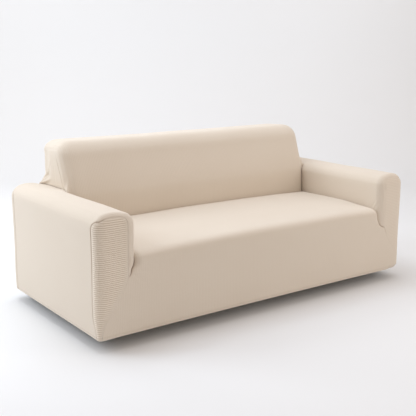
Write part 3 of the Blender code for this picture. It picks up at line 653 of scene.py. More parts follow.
def seat_base(x, mid_y, mid_z):
    """The seat's surface away from its edges; a negative height is counted from the crease at the back."""
    if mid_z is None:
        return (x, mid_y, seat_height(x, mid_y))
    if mid_z < 0.0:
        seam = back_seam_point(x)
        return (x, seam.y + mid_y, seam.z + SEAM_UNDER_EDGE + mid_z)
    if mid_z > DECK_FROM:
        fall = SEAT_MIDDLE - seat_height(x, mid_y)
        return (x, mid_y, mid_z + SEAT_MIDDLE_LIFT - fall * smooth(mid_z, DECK_FROM, DECK_BY))
    return (x, mid_y, mid_z)


def seat_points():
    """Rows from the front hem up the apron, over the seat's edge and back to the crease."""
    edge_z = back_foot(ARM_INSIDE)
    rows = [(arm_skin(half_width, 0.0, z), 0.0, z) for z, half_width in SPREAD_ROWS[:-1]]
    rows += [(slot_point(low, seam_z), mid_y, mid_z) for _, _, low, seam_z, mid_y, mid_z in SLOT_ROWS]
    rows += [(arm_skin(ARM_INSIDE, y, seat_height(ARM_INSIDE, y) - SEAM_UNDER_EDGE), y, None)
             for y in SEAT_ROWS_Y]
    rows += [(Vector((ARM_INSIDE, crease_depth(edge_z) - before, edge_z)), -before, -under)
             for before, under in CREASE_ROWS]
    grid = []
    for edge, mid_y, mid_z in rows:
        half_width = edge.x
        rim = Vector(seat_base(half_width, mid_y, mid_z))
        row = []
        for x in [half_width - step for step in SEAT_EDGE_STEPS] + list(SEAT_PLACES):
            pull = max(1.0 - (half_width - x) / SEAT_EDGE_BLEND, 0.0)
            curl = 1.0 - math.sqrt(1.0 - pull * pull)
            p = Vector(seat_base(x, mid_y, mid_z)) + (edge - rim) * curl
            p.x = x
            row.append(p)
        grid.append(mirrored(row[::-1]))
    return with_hem(grid)


print("seat and apron:", len(seat_points()), "rows")

# %% [markdown]
# ## The back
# Like a pillowcase, the inside back goes from the seat up the front, over the top and round both ends. The
# outside back closes it behind, reaches round the rear corners and runs down to the rear hem.

# %% Inside back
BACK_FRONT_HEIGHTS = (0.600, 0.660, 0.705)
BACK_TOP_DEPTHS = (0.820, 0.870)


def back_outline():
    """The line up the back's front, over its top and down its rear, from the arm's top to the rear seam."""
    soft_z = rounded(BACK_SOFT_TOP, 3)
    line = [(BACK_FRONT, z) for z in (ARM_CREASE_TOP.z,) + BACK_FRONT_HEIGHTS]
    line += [(BACK_FRONT, BACK_TOP - d) for d in soft_z]
    line += [(BACK_FRONT + d, BACK_TOP) for d in reversed(rounded(BACK_SOFT_FRONT, 3)[:-1])]
    line += [(y, BACK_TOP) for y in BACK_TOP_DEPTHS]
    line += [(DEPTH - d, BACK_TOP) for d in rounded(BACK_SOFT_REAR, 2)]
    line += [(DEPTH, BACK_TOP - d) for d in reversed(rounded(BACK_SOFT_TOP, 2)[:-1])]
    return line + [(DEPTH, REAR_SEAM)]


OUTLINE = back_outline()
OUTLINE_TOP = 7          # the place in it of the edge between the front and the top
END_STEPS_REAR = len(OUTLINE) - 1 - OUTLINE_TOP
CORNER_SHARE = END_SEAM_CORNER / (len(END_SEAM) - 1)
END_FOOT_HEIGHT = 0.030


def along_end(share):
    """A point on a smooth curve through END_SEAM, at a share of its rows."""
    place = share * (len(END_SEAM) - 1)
    k = min(int(place), len(END_SEAM) - 2)
    t = place - k
    p, q, r, s = (END_SEAM[min(max(n, 0), len(END_SEAM) - 1)] for n in range(k - 1, k + 3))
    return 0.5 * (2.0 * q + (r - p) * t + (2.0 * p - 5.0 * q + 4.0 * r - s) * t * t
                  + (3.0 * q - p - 3.0 * r + s) * t ** 3)


def end_seam(k):
    """The end seam beside the k-th point of the outline, in the plane of the back's end."""
    if k <= OUTLINE_TOP:
        return along_end(CORNER_SHARE * k / OUTLINE_TOP)
    return along_end(mix(CORNER_SHARE, 1.0, (k - OUTLINE_TOP) / END_STEPS_REAR))


def foot(p, crease):
    """Pull the lowest part of the back's end out to the crease on the arm."""
    share = 1.0 - smooth(p.z, ARM_TOP, ARM_TOP + END_FOOT_HEIGHT)
    return p + Vector(((crease.x - p.x) * share, 0.0, 0.0))


END_FOOT = (crease_depth(ARM_CREASE_TOP.z), 0.700, ARM_SHARP_BY, 0.7195, END_SEAM_FOOT)


def inside_back_points():
    """Its lower part, up to the arms' tops, and its upper part, which also goes round the ends."""
    upper = []
    for k, (y, z) in enumerate(OUTLINE):
        row = [back_skin(x, y, z) for x in BACK_PLACES]
        seam_y, seam_z = end_seam(k)
        for share in END_FRACTIONS:
            p = back_skin(BACK_HALF_WIDTH, mix(y, seam_y, share), mix(z, seam_z, share))
            if k == 0 and share > 0.0:
                p = arm_top_crease(END_FOOT[END_FRACTIONS.index(share) - 1])
            elif k < OUTLINE_TOP and share > 0.0:
                p = foot(p, arm_top_crease(p.y))
            row.append(p)
        upper.append(mirrored(row))
    return [mirrored(front_row(z)) for z in FRONT_HEIGHTS], upper


print("inside back:", [len(net) for net in inside_back_points()], "rows")

# %% [markdown]
# ## The outside back
# Its lower part lies between the arms' outer seams. Its upper part closes the back behind, up to the rear
# seam and round to the seams on the back's ends, where its points are spread evenly between four lines.

# %% Outside back
REAR_HEIGHTS = (HEM_ROLL, 0.030, 0.120, 0.240, 0.360, 0.450, 0.500, 0.513, 0.5316, 0.548, 0.5545, ARM_TOP)
REAR_RISE_ENDS = (0.965, 1.0)  # the last shares of the rise from the arms' top to the rear seam
REAR_BLEND = 0.060       # the height over which the arms' rear turns into that of the back


def end_patch(rise, t):
    """A point in the plane of the back's end, between its seam and its rear edge (t = 1)."""
    step = min(int(rise * OUTLINE_TOP + 1e-6), OUTLINE_TOP - 1)
    side = mix(end_seam(step), end_seam(step + 1), rise * OUTLINE_TOP - step)
    top = along_end(mix(CORNER_SHARE, 1.0, t))
    low_left, high_left, high_right = END_SEAM[0], END_SEAM[END_SEAM_CORNER], END_SEAM[-1]
    low_right = np.array((high_right[0], low_left[1]))
    bottom, rear = mix(low_left, low_right, t), mix(low_right, high_right, rise)
    return mix(bottom, top, rise) + mix(side, rear, t) - mix(bottom, mix(high_left, high_right, t), rise)


def outside_back_points():
    """The rear of the cover: its lower part between the arms' outer seams, and its upper part."""
    columns = [(x, 0.0, ARM_TOP) for x in BACK_PLACES]
    columns += [(x, 0.0, ARM_TOP) for x in sorted(TOP_PLACES) if x >= CREASE_X]
    columns += [(HALF_WIDTH, outer_seam_depth(z), z) for z in reversed(OUTER_HEIGHTS)
                if z >= OUTER_SEAM_TURNS]
    lower = []
    for z in REAR_HEIGHTS:
        row = []
        for x, before, top in columns:
            p = arm_skin(max(x, CREASE_X), DEPTH - before, levelled(z, top))
            share = smooth(x, BACK_PLACES[4], CREASE_X)
            row.append(Vector((x if x < CREASE_X else p.x, mix(DEPTH, p.y, share), p.z)))
        lower.append(mirrored(row))
    lower = with_hem(lower)
    shelf = lower[-1][len(lower[-1]) // 2:]

    upper = []
    rise_shares = [k / OUTLINE_TOP for k in range(OUTLINE_TOP)] + list(REAR_RISE_ENDS)
    rear_steps = [k / END_STEPS_REAR for k in range(END_STEPS_REAR, -1, -1)]
    for number, rise in enumerate(rise_shares):
        z = mix(shelf[0].z, REAR_SEAM, rise)
        blend = smooth(z, shelf[0].z, shelf[0].z + REAR_BLEND)
        row = []
        for low, x in zip(shelf, BACK_PLACES + (BACK_HALF_WIDTH,)):
            straight_up = low + Vector((0.0, 0.0, z - shelf[0].z))
            row.append(straight_up.lerp(back_skin(x, DEPTH, z), blend))
        for t in rear_steps:
            p = back_skin(BACK_HALF_WIDTH, *end_patch(rise, t))
            if number == 0:
                before = rear_steps.index(t)
                behind = REAR_ROUNDING[-1 - before] if before < len(REAR_ROUNDING) else \
                    mix(END_SEAM_FOOT, REAR_ROUNDING[0], t / rear_steps[len(REAR_ROUNDING) - 1])
                p = arm_skin(CREASE_X, behind, ARM_TOP)
            else:
                p = foot(p, arm_top_crease(p.y))
            row.append(p)
        upper.append(mirrored(row))
    return lower, upper


print("outside back:", [len(net) for net in outside_back_points()], "rows")

# %% [markdown]
# ## From a few points to a smooth sheet
# The rows of points above are a coarse net. A Subdivision Surface could smooth it, but it would draw the
# form inwards, away from its seams. So smooth curves are drawn through the points both ways, and a few more
# rows go close to each edge, where the cloth turns down into its seam.

# %% Finer nets
SHEET_STEP = 0.0085
END_STEP = 0.0036        # the same on the ends of the back, where the cloth is creased
ARM_STEP = 0.0065
EDGE_ROWS = (0.0012, 0.0024, 0.0040, 0.0060)
NEAREST_ROWS = 0.0004


def unit(ways):
    return ways / np.maximum(np.linalg.norm(ways, axis=-1, keepdims=True), 1e-9)


def as_net(points):
    return np.array([[tuple(p) for p in row] for row in points])


def stops(net, step):
    """Where new rows go between the rows of a net: even steps, and a few close to both rims.

    The step is one length, or one for each gap between two rows.
    """
    lengths = np.linalg.norm(np.diff(net, axis=0), axis=-1)
    run = np.concatenate([[0.0], np.cumsum(lengths.mean(axis=1))])
    numbers = np.arange(len(run))
    places = [k + n / parts for k, parts in enumerate(np.ceil(lengths.max(axis=1) / step).astype(int))
              for n in range(parts)]
    places += list(np.interp(EDGE_ROWS, run, numbers))
    places += list(np.interp(run[-1] - np.array(EDGE_ROWS), run, numbers))
    kept = [float(k) for k in numbers]
    for place in sorted(places):
        near = np.interp([place], numbers, run)[0]
        if min(abs(near - np.interp(kept, numbers, run))) > NEAREST_ROWS:
            kept.append(place)
    return sorted(kept)


def more_rows(net, places, first_ways=None, last_ways=None):
    """The rows of a net at these places, on smooth curves through its own rows."""
    chords = np.diff(net, axis=0)
    lengths = np.linalg.norm(chords, axis=-1, keepdims=True)
    straight = unit(chords)
    ways = np.empty_like(net)
    ways[1:-1] = unit(net[2:] - net[:-2])
    for end, inner, chord in ((0, 1, 0), (-1, -2, -1)):
        along_chord = np.sum(ways[inner] * straight[chord], axis=-1, keepdims=True)
        ways[end] = 2.0 * along_chord * straight[chord] - ways[inner]
    for end, given in ((0, first_ways), (-1, last_ways)):
        if given is not None:
            known = ~np.isnan(given[:, 0])
            ways[end][known] = given[known]
    k = np.minimum(np.array(places).astype(int), len(net) - 2)
    t = (np.array(places) - k)[:, None, None]
    return ((1.0 - t) ** 2 * (1.0 + 2.0 * t) * net[k] + t * t * (3.0 - 2.0 * t) * net[k + 1]
            + (t * (1.0 - t) ** 2 * ways[k] - t * t * (1.0 - t) * ways[k + 1]) * lengths[k])


def fine_net(net, places=None, step=SHEET_STEP, **given_ways):
    """A net made fine both ways; places are those of its columns."""
    rows = more_rows(net, stops(net, step), **given_ways)
    across = net.transpose(1, 0, 2)
    places = places or stops(across, max(step, ARM_STEP))
    return more_rows(rows.transpose(1, 0, 2), places).transpose(1, 0, 2)


print("most faces of a sheet are about", SHEET_STEP, "wide")

# %% [markdown]
# ## Two nets in one cloth
# Each back is made of two nets that share the middle of a row. Both get the same places for their columns
# there, and the same direction across the row, so that the cloth runs on without a bend.

# %% Joined nets
def finer_ends(net):
    """A step for each gap between two columns: short on the ends of the back."""
    places = np.abs(net[..., 0]).mean(axis=0)
    return np.where((places[1:] + places[:-1]) / 2.0 > ARM_INSIDE, END_STEP, SHEET_STEP)


def joined_nets(lower, upper, upper_step):
    """Two nets made fine that share the middle of a row, smoothly across that row."""
    rims = lower[-1], upper[0]
    middles = [len(rim) // 2 for rim in rims]
    half = 0
    while half < min(middles) and np.allclose(
            *(rim[middle + half + 1] for rim, middle in zip(rims, middles)), atol=1e-5):
        half += 1
    parts = [slice(middle - half, middle + half + 1) for middle in middles]
    column_stops = [stops(net.transpose(1, 0, 2), step)
                    for net, step in ((lower, SHEET_STEP), (upper, finer_ends(upper)))]
    shared = sorted({round(s - part.start, 6) for part, own in zip(parts, column_stops)
                     for s in own if part.start <= s <= part.stop - 1})
    ways, places, spans = [], [], []
    for rim, part, own in zip(rims, parts, column_stops):
        before = [s for s in own if s < part.start]
        places.append(before + [s + part.start for s in shared] + [s for s in own if s > part.stop - 1])
        spans.append(slice(len(before), len(before) + len(shared)))
        ways.append(np.full_like(rim, np.nan))
        ways[-1][part] = unit(upper[1, parts[1]] - lower[-2, parts[0]])
    fine_low = fine_net(lower, places[0], last_ways=ways[0])
    fine_up = fine_net(upper, places[1], upper_step, first_ways=ways[1])
    fine_low[-1, spans[0]] = fine_up[0, spans[1]]
    return fine_low, fine_up


def run_down(net):
    """The distance travelled along each column, from the first row."""
    steps = np.linalg.norm(np.diff(net, axis=0), axis=-1)
    return np.concatenate([np.zeros((1, net.shape[1])), np.cumsum(steps, axis=0)])


def run_across(net):
    """The distance travelled along each row, from the first column."""
    return run_down(net.transpose(1, 0, 2)).T


print("the ends of the back have a step of", END_STEP)

# %% [markdown]
# ## Life in the cloth
# Stretched knit is never quite smooth. All that moves it depends on the place in space alone, so the pieces
# on both sides of a seam move together. Tension draws straight creases: across the ends of the back, down
# from its lower corners, and beside the slots, where the seat dives in. A simulation would put them where it
# likes, so each is drawn here on its own line, as a trough with a ridge on one side.

# %% Creases
FOLD_REACH = 0.016       # a crease works on cloth this near to its line, square to the cloth
RIDGE_AT = 1.7           # in half widths from the line
FOLD_STARTS, FOLD_ENDS = (-0.15, 0.0), (1.2, 0.5)  # from none to all of it, in shares of its length
OUT, IN, FORWARD = (1.0, 0.0, 0.0), (-1.0, 0.0, 0.0), (0.0, -1.0, 0.0)
FOLDS = (
    # start, end, the way outwards, half_width, depth, ridge: straight creases on the right half, mirrored
    # on the left. A negative depth raises the line instead.
    ((0.818, 0.948, 0.570), (0.815, 0.862, 0.632), OUT, 0.0065, 0.0085, 0.6),
    ((0.818, 0.958, 0.551), (0.815, 0.835, 0.596), OUT, 0.0075, -0.0060, 0.4),
    ((0.815, 0.885, 0.640), (0.815, 0.825, 0.700), OUT, 0.0100, -0.0022, 0.3),
    ((0.815, 0.791, 0.575), (0.815, 0.800, 0.700), OUT, 0.0055, 0.0014, 0.8),
    ((0.800, 0.058, 0.372), (0.803, 0.022, 0.432), IN, 0.0040, 0.0016, 0.8),
    ((0.800, 0.047, 0.356), (0.812, 0.010, 0.408), IN, 0.0035, 0.0016, 0.8),
    ((0.800, 0.038, 0.338), (0.822, 0.004, 0.372), IN, 0.0035, 0.0014, 0.8),
    ((0.806, 0.012, 0.400), (0.806, 0.012, 0.500), FORWARD, 0.0045, 0.0012, 0.7),
    ((0.820, 0.004, 0.370), (0.819, 0.004, 0.510), FORWARD, 0.0050, 0.0012, 0.7),
    ((0.812, 0.004, 0.280), (0.760, 0.000, 0.232), FORWARD, 0.0060, 0.0016, 0.6),
    ((0.806, 0.008, 0.292), (0.740, 0.001, 0.285), FORWARD, 0.0060, 0.0012, 0.5),
)


def bell(value, middle, width):
    return np.exp(-((value - middle) / width) ** 2)


def fold(points, start, end, outwards, half_width, depth, ridge):
    """How a crease moves points: a trough with a ridge on one side of it."""
    run = end - start
    away = points - start
    share = away @ run / (run @ run)
    side = unit(np.cross(run, outwards))
    off_line = away - np.clip(share, 0.0, 1.0)[:, None] * run
    across = off_line @ side / half_width
    off_face = np.linalg.norm(off_line - (off_line @ side)[:, None] * side, axis=1)
    near = bell(off_face, 0.0, FOLD_REACH) * smooth(share, *FOLD_STARTS) * smooth(share, *FOLD_ENDS)
    height = depth * near * (ridge * bell(across, RIDGE_AT, 1.0) - bell(across, 0.0, 1.0))
    return height[:, None] * np.array(outwards)


print(len(FOLDS), "creases a side")

# %% [markdown]
# ## Swells, the back and the corners
# The long faces swell and hollow a little, and the elastic lifts the front hem at mid span. The back's front
# is padded, its lower rear corners are drawn out over the arms, and its left one is drawn in above. Below,
# the two slots and the two front corners are not quite alike, as on any cover that was pulled on by hand.

# %% Swells and pulls
HEM_RISE = 0.004
HEM_RISE_FADES = 0.150
HEM_RISE_DEPTH = 0.5     # the rear hem, behind this, stays level
SWELLS_FROM = 0.10       # this far above the hem they reach their full size
SWELLS = (
    # how far along x, y and z, then the waves across x, y and z, and the phase
    ((0.0009, 0.0011, 0.0008), (5.1, 3.7, 9.3), 0.7),
    ((-0.0008, 0.0007, 0.0006), (-9.7, 8.3, 13.9), 2.1),
    ((0.0005, -0.0005, 0.0004), (17.3, -15.1, 6.1), 4.0),
)
X, Y, Z = range(3)
NARROWED = ((X, -0.70, -0.78), (X, -0.91, -0.83), (Y, 0.82, 0.90), (Z, 0.575, 0.615))
DRAWN_OUT = ((Y, 0.84, 0.94), (Z, 0.47, 0.53), (Z, 0.611, 0.556))
PULLS = (
    # how far the cloth moves, along which axis, and where: the product of smooth rises along x, y or z,
    # each from 0 at the first place to 1 at the second.
    # The back's padded front:
    (-0.029, Y, ((X, -0.96, -0.86), (X, 0.96, 0.86), (Y, 0.50, 0.63), (Y, 0.85, 0.72), (Z, 0.34, 0.54),
                 (Z, 0.79, 0.52))),
    # its left rear corner, drawn in above the arm:
    (0.0026, X, NARROWED),
    (0.0104, X, NARROWED + ((Z, 0.77, 0.71),)),
    # and its two lower rear corners, drawn out over the arms:
    (-0.014, X, DRAWN_OUT + ((X, -0.72, -0.80), (X, -0.878, -0.818))),
    (0.018, X, DRAWN_OUT + ((X, 0.72, 0.80), (X, 0.878, 0.818))),
)
SAG_DEPTH = 0.08         # the slots sag only in front of this
SAGS = (
    # side, then x and z of the middle, the reach, and how far out and up
    (1, 0.825, 0.290, 0.045, 0.004, -0.014),
    (-1, 0.806, 0.292, 0.024, 0.013, 0.006),
)
CORNER_AREA = (0.120, 0.060)  # from a front corner: none of its movement, and all of it
CORNER_SQUARED, SQUARED_HEIGHTS = 0.45, (0.110, 0.020)  # how much tighter the elastic pulls the left one
CORNER_TUCKED, TUCKED_HEIGHTS = 0.009, (0.022, 0.0)     # how far it draws in the right one


def field(points, rises):
    """The product of smooth rises of the place."""
    return math.prod(smooth(points[:, axis], start, end) for axis, start, end in rises)


def corner_moves(x, y, z):
    """How far points near the two front corners move to the right and to the rear."""
    from_side = HALF_WIDTH - np.abs(x)
    near = smooth(np.maximum(from_side, y), *CORNER_AREA)
    squared = np.where(x < 0.0, CORNER_SQUARED, 0.0) * near * smooth(z, *SQUARED_HEIGHTS)
    tucked = np.where(x > 0.0, CORNER_TUCKED, 0.0) * near * smooth(z, *TUCKED_HEIGHTS)
    return np.sign(x) * (squared * from_side - tucked), tucked - squared * y


def drape(points):
    """The points of a sheet after all its small movements."""
    x, y, z = points.T
    swell = sum(np.sin(points @ np.array(waves) + phase)[:, None] * np.array(way)
                for way, waves, phase in SWELLS)
    out = points + swell * smooth(z, 0.0, SWELLS_FROM)[:, None]
    for start, end, outwards, *shape in FOLDS:
        for flip in ((-1.0, 1.0, 1.0), (1.0, 1.0, 1.0)):
            ends = [np.multiply(place, flip) for place in (start, end, outwards)]
            out = out + fold(points, *ends, *shape)
    rise = HEM_RISE * (1.0 - (x / HALF_WIDTH) ** 2) * smooth(z, HEM_RISE_FADES, 0.0)
    out[:, 2] += np.where(y < HEM_RISE_DEPTH, rise, 0.0)
    for side, at_x, at_z, reach, away, up in SAGS:
        near = bell(np.hypot(side * x - at_x, z - at_z), 0.0, reach) * smooth(y, SAG_DEPTH, 0.0)
        out[:, 0] += side * away * near
        out[:, 2] += up * near
    for distance, axis, rises in PULLS:
        out[:, axis] += distance * field(points, rises)
    for axis, distance in enumerate(corner_moves(x, y, z)):
        out[:, axis] += distance
    return out


print(len(SWELLS), "swells and", len(PULLS), "pulls")

# %% [markdown]
# ## How a seam shows
# A seam is a groove with a line of painted shade, but not everywhere alike. It is strong on the arms' outer
# sides and deep in the slots, where its painted shade is darkest, faint on the arms' fronts and on the ends
# of the back, and opens no groove where two cloths meet in an inside corner. There a soft warm painted shade
# darkens the cloth on both sides instead.

# %% Strength of the seams
# Each is about 1 for a plain seam. Two values are those of the left and the right side, and places are given
# for the right one: from none of it to all of it.
REAR_SEAMS = 0.80
FRONT_SEAM, LOW_FRONT_SEAM, FRONT_HEIGHTS_OF_SEAM = 1.25, 0.90, (0.20, 0.35)
FRONT_DEPTH = 0.2        # seams before this count as front ones
END_SEAM_SHOWS, END_SEAM_FADED = 0.70, 0.06
END_LOW, END_HIGH = (0.77, 0.60, 0.575), (1.0, 0.93, 1.0)
END_FADE_DEPTHS, END_FADE_HEIGHTS = (0.785, 0.835), (0.690, 0.735)
FACING_SEAM, FACING_TOP_SEAM, FACING_TOP = 0.16, np.array((0.32, 0.10)), (0.50, 0.54)
FACING_FROM, FACING_BY, FACING_TOP_BY = 0.990, 0.978, 0.940  # inwards from an arm's outer front edge
ON_FACE = (0.040, 0.020)  # in depth: on the front of an arm
APRON_SEAM, APRON_PLACES = 0.03, ((Y, *ON_FACE), (Z, 0.292, 0.262), (X, 0.985, 0.975))
TUCK_SHOWS, TUCK_HEIGHTS = np.array((0.25, 0.75)), (0.190, 0.270)  # the tuck below a slot
# Deep in the slots a seam gets a deeper groove and a painted dark shadow.
SLOT_SHOWS, SLOT_DEEPEST, SLOT_WIDTH = np.array((2.8, 1.9)), 0.340, 0.045
SLOT_PLACES, SLOT_INSIDE = ((Z, 0.262, 0.282), (Z, 0.42, 0.40), (Y, 0.100, 0.060)), 0.838
CORNER_PLACES, CORNER_HIGH = ((Y, 0.085, 0.125),), (0.832, 0.94, 0.585)


def seam_strength(place, right):
    """How deep the seam's groove is and how much painted shade it gets at each place; right is 0 on the left
    side and 1 on the right.
    """
    x, y, z = place.T
    front = mix(LOW_FRONT_SEAM, FRONT_SEAM, smooth(z, *FRONT_HEIGHTS_OF_SEAM))
    strength = np.where(y < FRONT_DEPTH, front, REAR_SEAMS)
    on_end = np.all((place > END_LOW) & (place < END_HIGH), axis=1)
    faded = np.maximum(smooth(y, *END_FADE_DEPTHS), smooth(z, *END_FADE_HEIGHTS))
    strength = np.where(on_end, mix(END_SEAM_SHOWS, END_SEAM_FADED, faded), strength)
    at_top = smooth(z, *FACING_TOP)
    inner = smooth(y, *ON_FACE) * smooth(x, FACING_FROM, mix(FACING_BY, FACING_TOP_BY, at_top))
    strength = mix(strength, mix(FACING_SEAM, FACING_TOP_SEAM[right], at_top), inner)
    apron = APRON_SEAM + TUCK_SHOWS[right] * smooth(z, *TUCK_HEIGHTS)
    strength = mix(strength, apron, field(place, APRON_PLACES))
    return mix(strength, mix(1.0, SLOT_SHOWS[right], bell(z, SLOT_DEEPEST, SLOT_WIDTH)), in_slot(place))


def in_slot(place):
    """1 where the arm's inner front edge and the seat meet, above the arm's foot: its seam runs deep."""
    return field(place, SLOT_PLACES) * (place[:, X] < SLOT_INSIDE)


def in_corner(place):
    """1 where two cloths meet in an inside corner, where a seam opens no groove."""
    return field(place, CORNER_PLACES) * np.all(place < CORNER_HIGH, axis=1)


print("strength of the seams:", REAR_SEAMS, "behind and", FRONT_SEAM, "in front")

# %% [markdown]
# ## Grids of faces
# A plain grid is added for each net, because it comes with a UV map and rows in order, and its points are
# moved into place. The grids of one cloth are joined and welded where they meet, and those of the left arm
# are mirrored.

# %% Grids of faces
WELD = 0.00002


def deselect_all():
    for other in bpy.context.selected_objects:
        other.select_set(False)


def lay_grid(net, cloth_uv, cut=None):
    """A grid of faces in the shape of a net, with its UV map in metres, without the faces past the cut."""
    rows, columns = net.shape[:2]
    deselect_all()
    bpy.ops.mesh.primitive_grid_add(x_subdivisions=columns - 1, y_subdivisions=rows - 1, size=1.0)
    grid = bpy.context.object
    mesh = grid.data
    mesh.vertices.foreach_set("co", net.reshape(-1))
    corners = np.empty(len(mesh.loops), dtype=int)
    mesh.loops.foreach_get("vertex_index", corners)
    mesh.uv_layers[0].name = "cloth"
    mesh.uv_layers[0].data.foreach_set("uv", cloth_uv.reshape(-1, 2)[corners].reshape(-1))
    if cut:
        first_row, first_column = cut
        j, i = np.divmod(np.arange((rows - 1) * (columns - 1)), columns - 1)
        bpy.context.tool_settings.mesh_select_mode = (False, False, True)
        mesh.vertices.foreach_set("select", np.zeros(rows * columns, dtype=bool))
        mesh.edges.foreach_set("select", np.zeros(len(mesh.edges), dtype=bool))
        mesh.polygons.foreach_set("select", (j >= first_row) & (i >= first_column))
        bpy.ops.object.mode_set(mode="EDIT")
        bpy.ops.mesh.delete(type="FACE")
        bpy.ops.object.mode_set(mode="OBJECT")
    return grid


def joined(name, grids, side):
    """The grids of one cloth welded and faced outwards, on the right or the left, and its points."""
    deselect_all()
    for grid in grids:
        grid.select_set(True)
    piece = grids[0]
    bpy.context.view_layer.objects.active = piece
    if len(grids) > 1:
        bpy.ops.object.join()
    piece.name = piece.data.name = name
    bpy.ops.object.mode_set(mode="EDIT")
    bpy.ops.mesh.select_all(action="SELECT")
    bpy.ops.mesh.remove_doubles(threshold=WELD)
    bpy.ops.mesh.normals_make_consistent(inside=False)
    bpy.ops.object.mode_set(mode="OBJECT")
    points = np.empty(len(piece.data.vertices) * 3)
    piece.data.vertices.foreach_get("co", points)
    points = points.reshape(-1, 3)
    if side < 0:
        points[:, 0] *= -1.0
        piece.data.vertices.foreach_set("co", points.reshape(-1))
        piece.data.flip_normals()
    return piece, points


print("points closer than", WELD, "are welded")

# %% [markdown]
# ## The rim of a cloth
# The cut edge is rolled down into its seam, so every point needs its distance from the nearest edge. The
# edges are marked in short steps, and a search tree finds the nearest mark.

# %% Rims
RIM_MARKS = 0.001        # the rim is marked at about these steps


def measure_rim(mesh, points):
    """Each point's distance from the nearest cut edge and, for those on it, the way into the sheet."""
    bm = bmesh.new()
    bm.from_mesh(mesh)
    marks = []
    for edge in bm.edges:
        if edge.is_boundary:
            a, b = edge.verts
            parts = max(1, round((b.co - a.co).length / RIM_MARKS))
            marks += [a.co.lerp(b.co, k / parts) for k in range(parts)]
    inward = np.zeros((len(bm.verts), 3))
    for v in bm.verts:
        if v.is_boundary:
            middle = sum((face.calc_center_median() for face in v.link_faces), Vector()) / len(v.link_faces)
            inward[v.index] = (middle - v.co).normalized()
    bm.free()
    tree = KDTree(len(marks))
    for k, mark in enumerate(marks):
        tree.insert(mark, k)
    tree.balance()
    return np.array([tree.find(p)[2] for p in points]), inward


print("rims are marked every", RIM_MARKS)

# %% [markdown]
# ## Sewing a piece
# The points are moved and the rim is rolled in. How strong the seam is there is kept as an attribute, since
# the knit is painted with shade in a seam and, as a soft warm painted shade, beside it in an inside corner.
# Solidify gives the sheet its thickness.

# %% Piece maker
CLOTH = 0.0015
SEAM_GAP = 0.0003
SEAM_REACH, SEAM_DEPTH, CORNER_DEPTH = 0.0026, 0.0022, 0.0002
SEAM_LIGHTER = 0.2       # how much less a seam shows in an inside corner
# Painted shade: a warm darkening of the knit beside the seams in inside corners, where shade falls.
PAINTED_CORNER_SHADE, PAINTED_CORNER_SHADE_REACH = 0.28, 0.030  # the warm shade beside the seams in inside corners
PAINTED_CORNER_SHADE_BELOW = 0.545  # above the hem; an arm's top carries none
HEM_STITCH, HEM_STITCH_WIDTH, HEM_STITCH_DEPTH = 0.014, 0.0024, 0.0020
# Painted shade along the hem's stitch groove.
HEM_STITCH_PAINTED_SHADE = 0.30
made = {}


def sew(name, grids, material, side=1, relief=None):
    """One piece of cloth from its grids: draped, rolled in at its rim, and stitched along its hem."""
    piece, flat = joined(name, grids, side)
    mesh = piece.data
    normals = np.array([v.normal for v in mesh.vertices])
    seam, inward = measure_rim(mesh, flat)
    place = np.abs(flat)
    strength = seam_strength(place, (flat[:, X] >= 0.0).astype(int))
    corner = in_corner(place)
    roll = bell(seam, 0.0, SEAM_REACH * np.maximum(strength, 1.0))
    hem_line = bell(flat[:, Z], HEM_STITCH, HEM_STITCH_WIDTH)
    deep = mix(SEAM_DEPTH * strength, CORNER_DEPTH, corner) * roll + HEM_STITCH_DEPTH * hem_line
    ways_out = mix(normals, np.array([[0.0, -1.0, 0.0]]), in_slot(place)[:, None])
    points = drape(flat) + inward * SEAM_GAP / 2.0 - ways_out * deep[:, None]
    if relief is not None:
        raised, ribbed = relief(flat, seam)
        points += normals * raised[:, None]
        mesh.attributes.new("ribbed", "FLOAT", "POINT").data.foreach_set("value", ribbed)
    mesh.vertices.foreach_set("co", (points + np.array(TO_FRAME)).reshape(-1))
    # The seam attribute holds painted shade: the seams' lines, the hem's stitch line and the warm shade in
    # inside corners.
    upright = corner * (1.0 - np.abs(normals[:, 2])) * (flat[:, Z] < PAINTED_CORNER_SHADE_BELOW)
    shown = roll * strength * (1.0 - SEAM_LIGHTER * corner) + HEM_STITCH_PAINTED_SHADE * hem_line \
        + PAINTED_CORNER_SHADE * upright * bell(seam, 0.0, PAINTED_CORNER_SHADE_REACH)
    mesh.attributes.new("seam", "FLOAT", "POINT").data.foreach_set("value", shown)
    mesh.materials.clear()
    mesh.materials.append(material)
    mesh.shade_smooth()
    thickness = piece.modifiers.new("Cloth thickness", "SOLIDIFY")
    thickness.thickness = CLOTH
    thickness.offset = -1.0
    made[name] = piece
    print(f"{name}: {len(mesh.polygons)} faces a side")


print("cloth", CLOTH, "thick,", SEAM_GAP, "from its neighbours")

# %% [markdown]
# ## The seat and apron
# One long cloth. Its ribs run from the front hem up and back to the crease, so u is the place across the
# seat and v the distance from the hem.

# %% Sew the seat and apron
def straight_uv(net):
    return np.stack([net[..., 0], run_down(net)], axis=-1)


seat_net = fine_net(as_net(seat_points()))
sew("seat_and_apron_knit", [lay_grid(seat_net, straight_uv(seat_net))], plain_knit)

# %% [markdown]
# ## The inside back and the outside back
# Each is one cloth of two nets. The ribs run up the back, over its top and down its rear.

# %% Sew the back
for name, (lower, upper), step in (("inside_back", inside_back_points(), SHEET_STEP),
                                   ("outside_back", outside_back_points(), END_STEP)):
    nets = joined_nets(as_net(lower), as_net(upper), step)
    sew(f"{name}_knit", [lay_grid(net, straight_uv(net)) for net in nets], plain_knit)

# %% [markdown]
# ## The arm covers
# Each arm cover is one cloth whose ribs run across the arm, from the outer hem over the top: u is the
# distance along the arm and v the distance from the hem. Behind the back's front, the part of the net that
# would lie under the back is cut away.

# %% Sew the arm covers
SIDES = ((-1, "left"), (1, "right"))

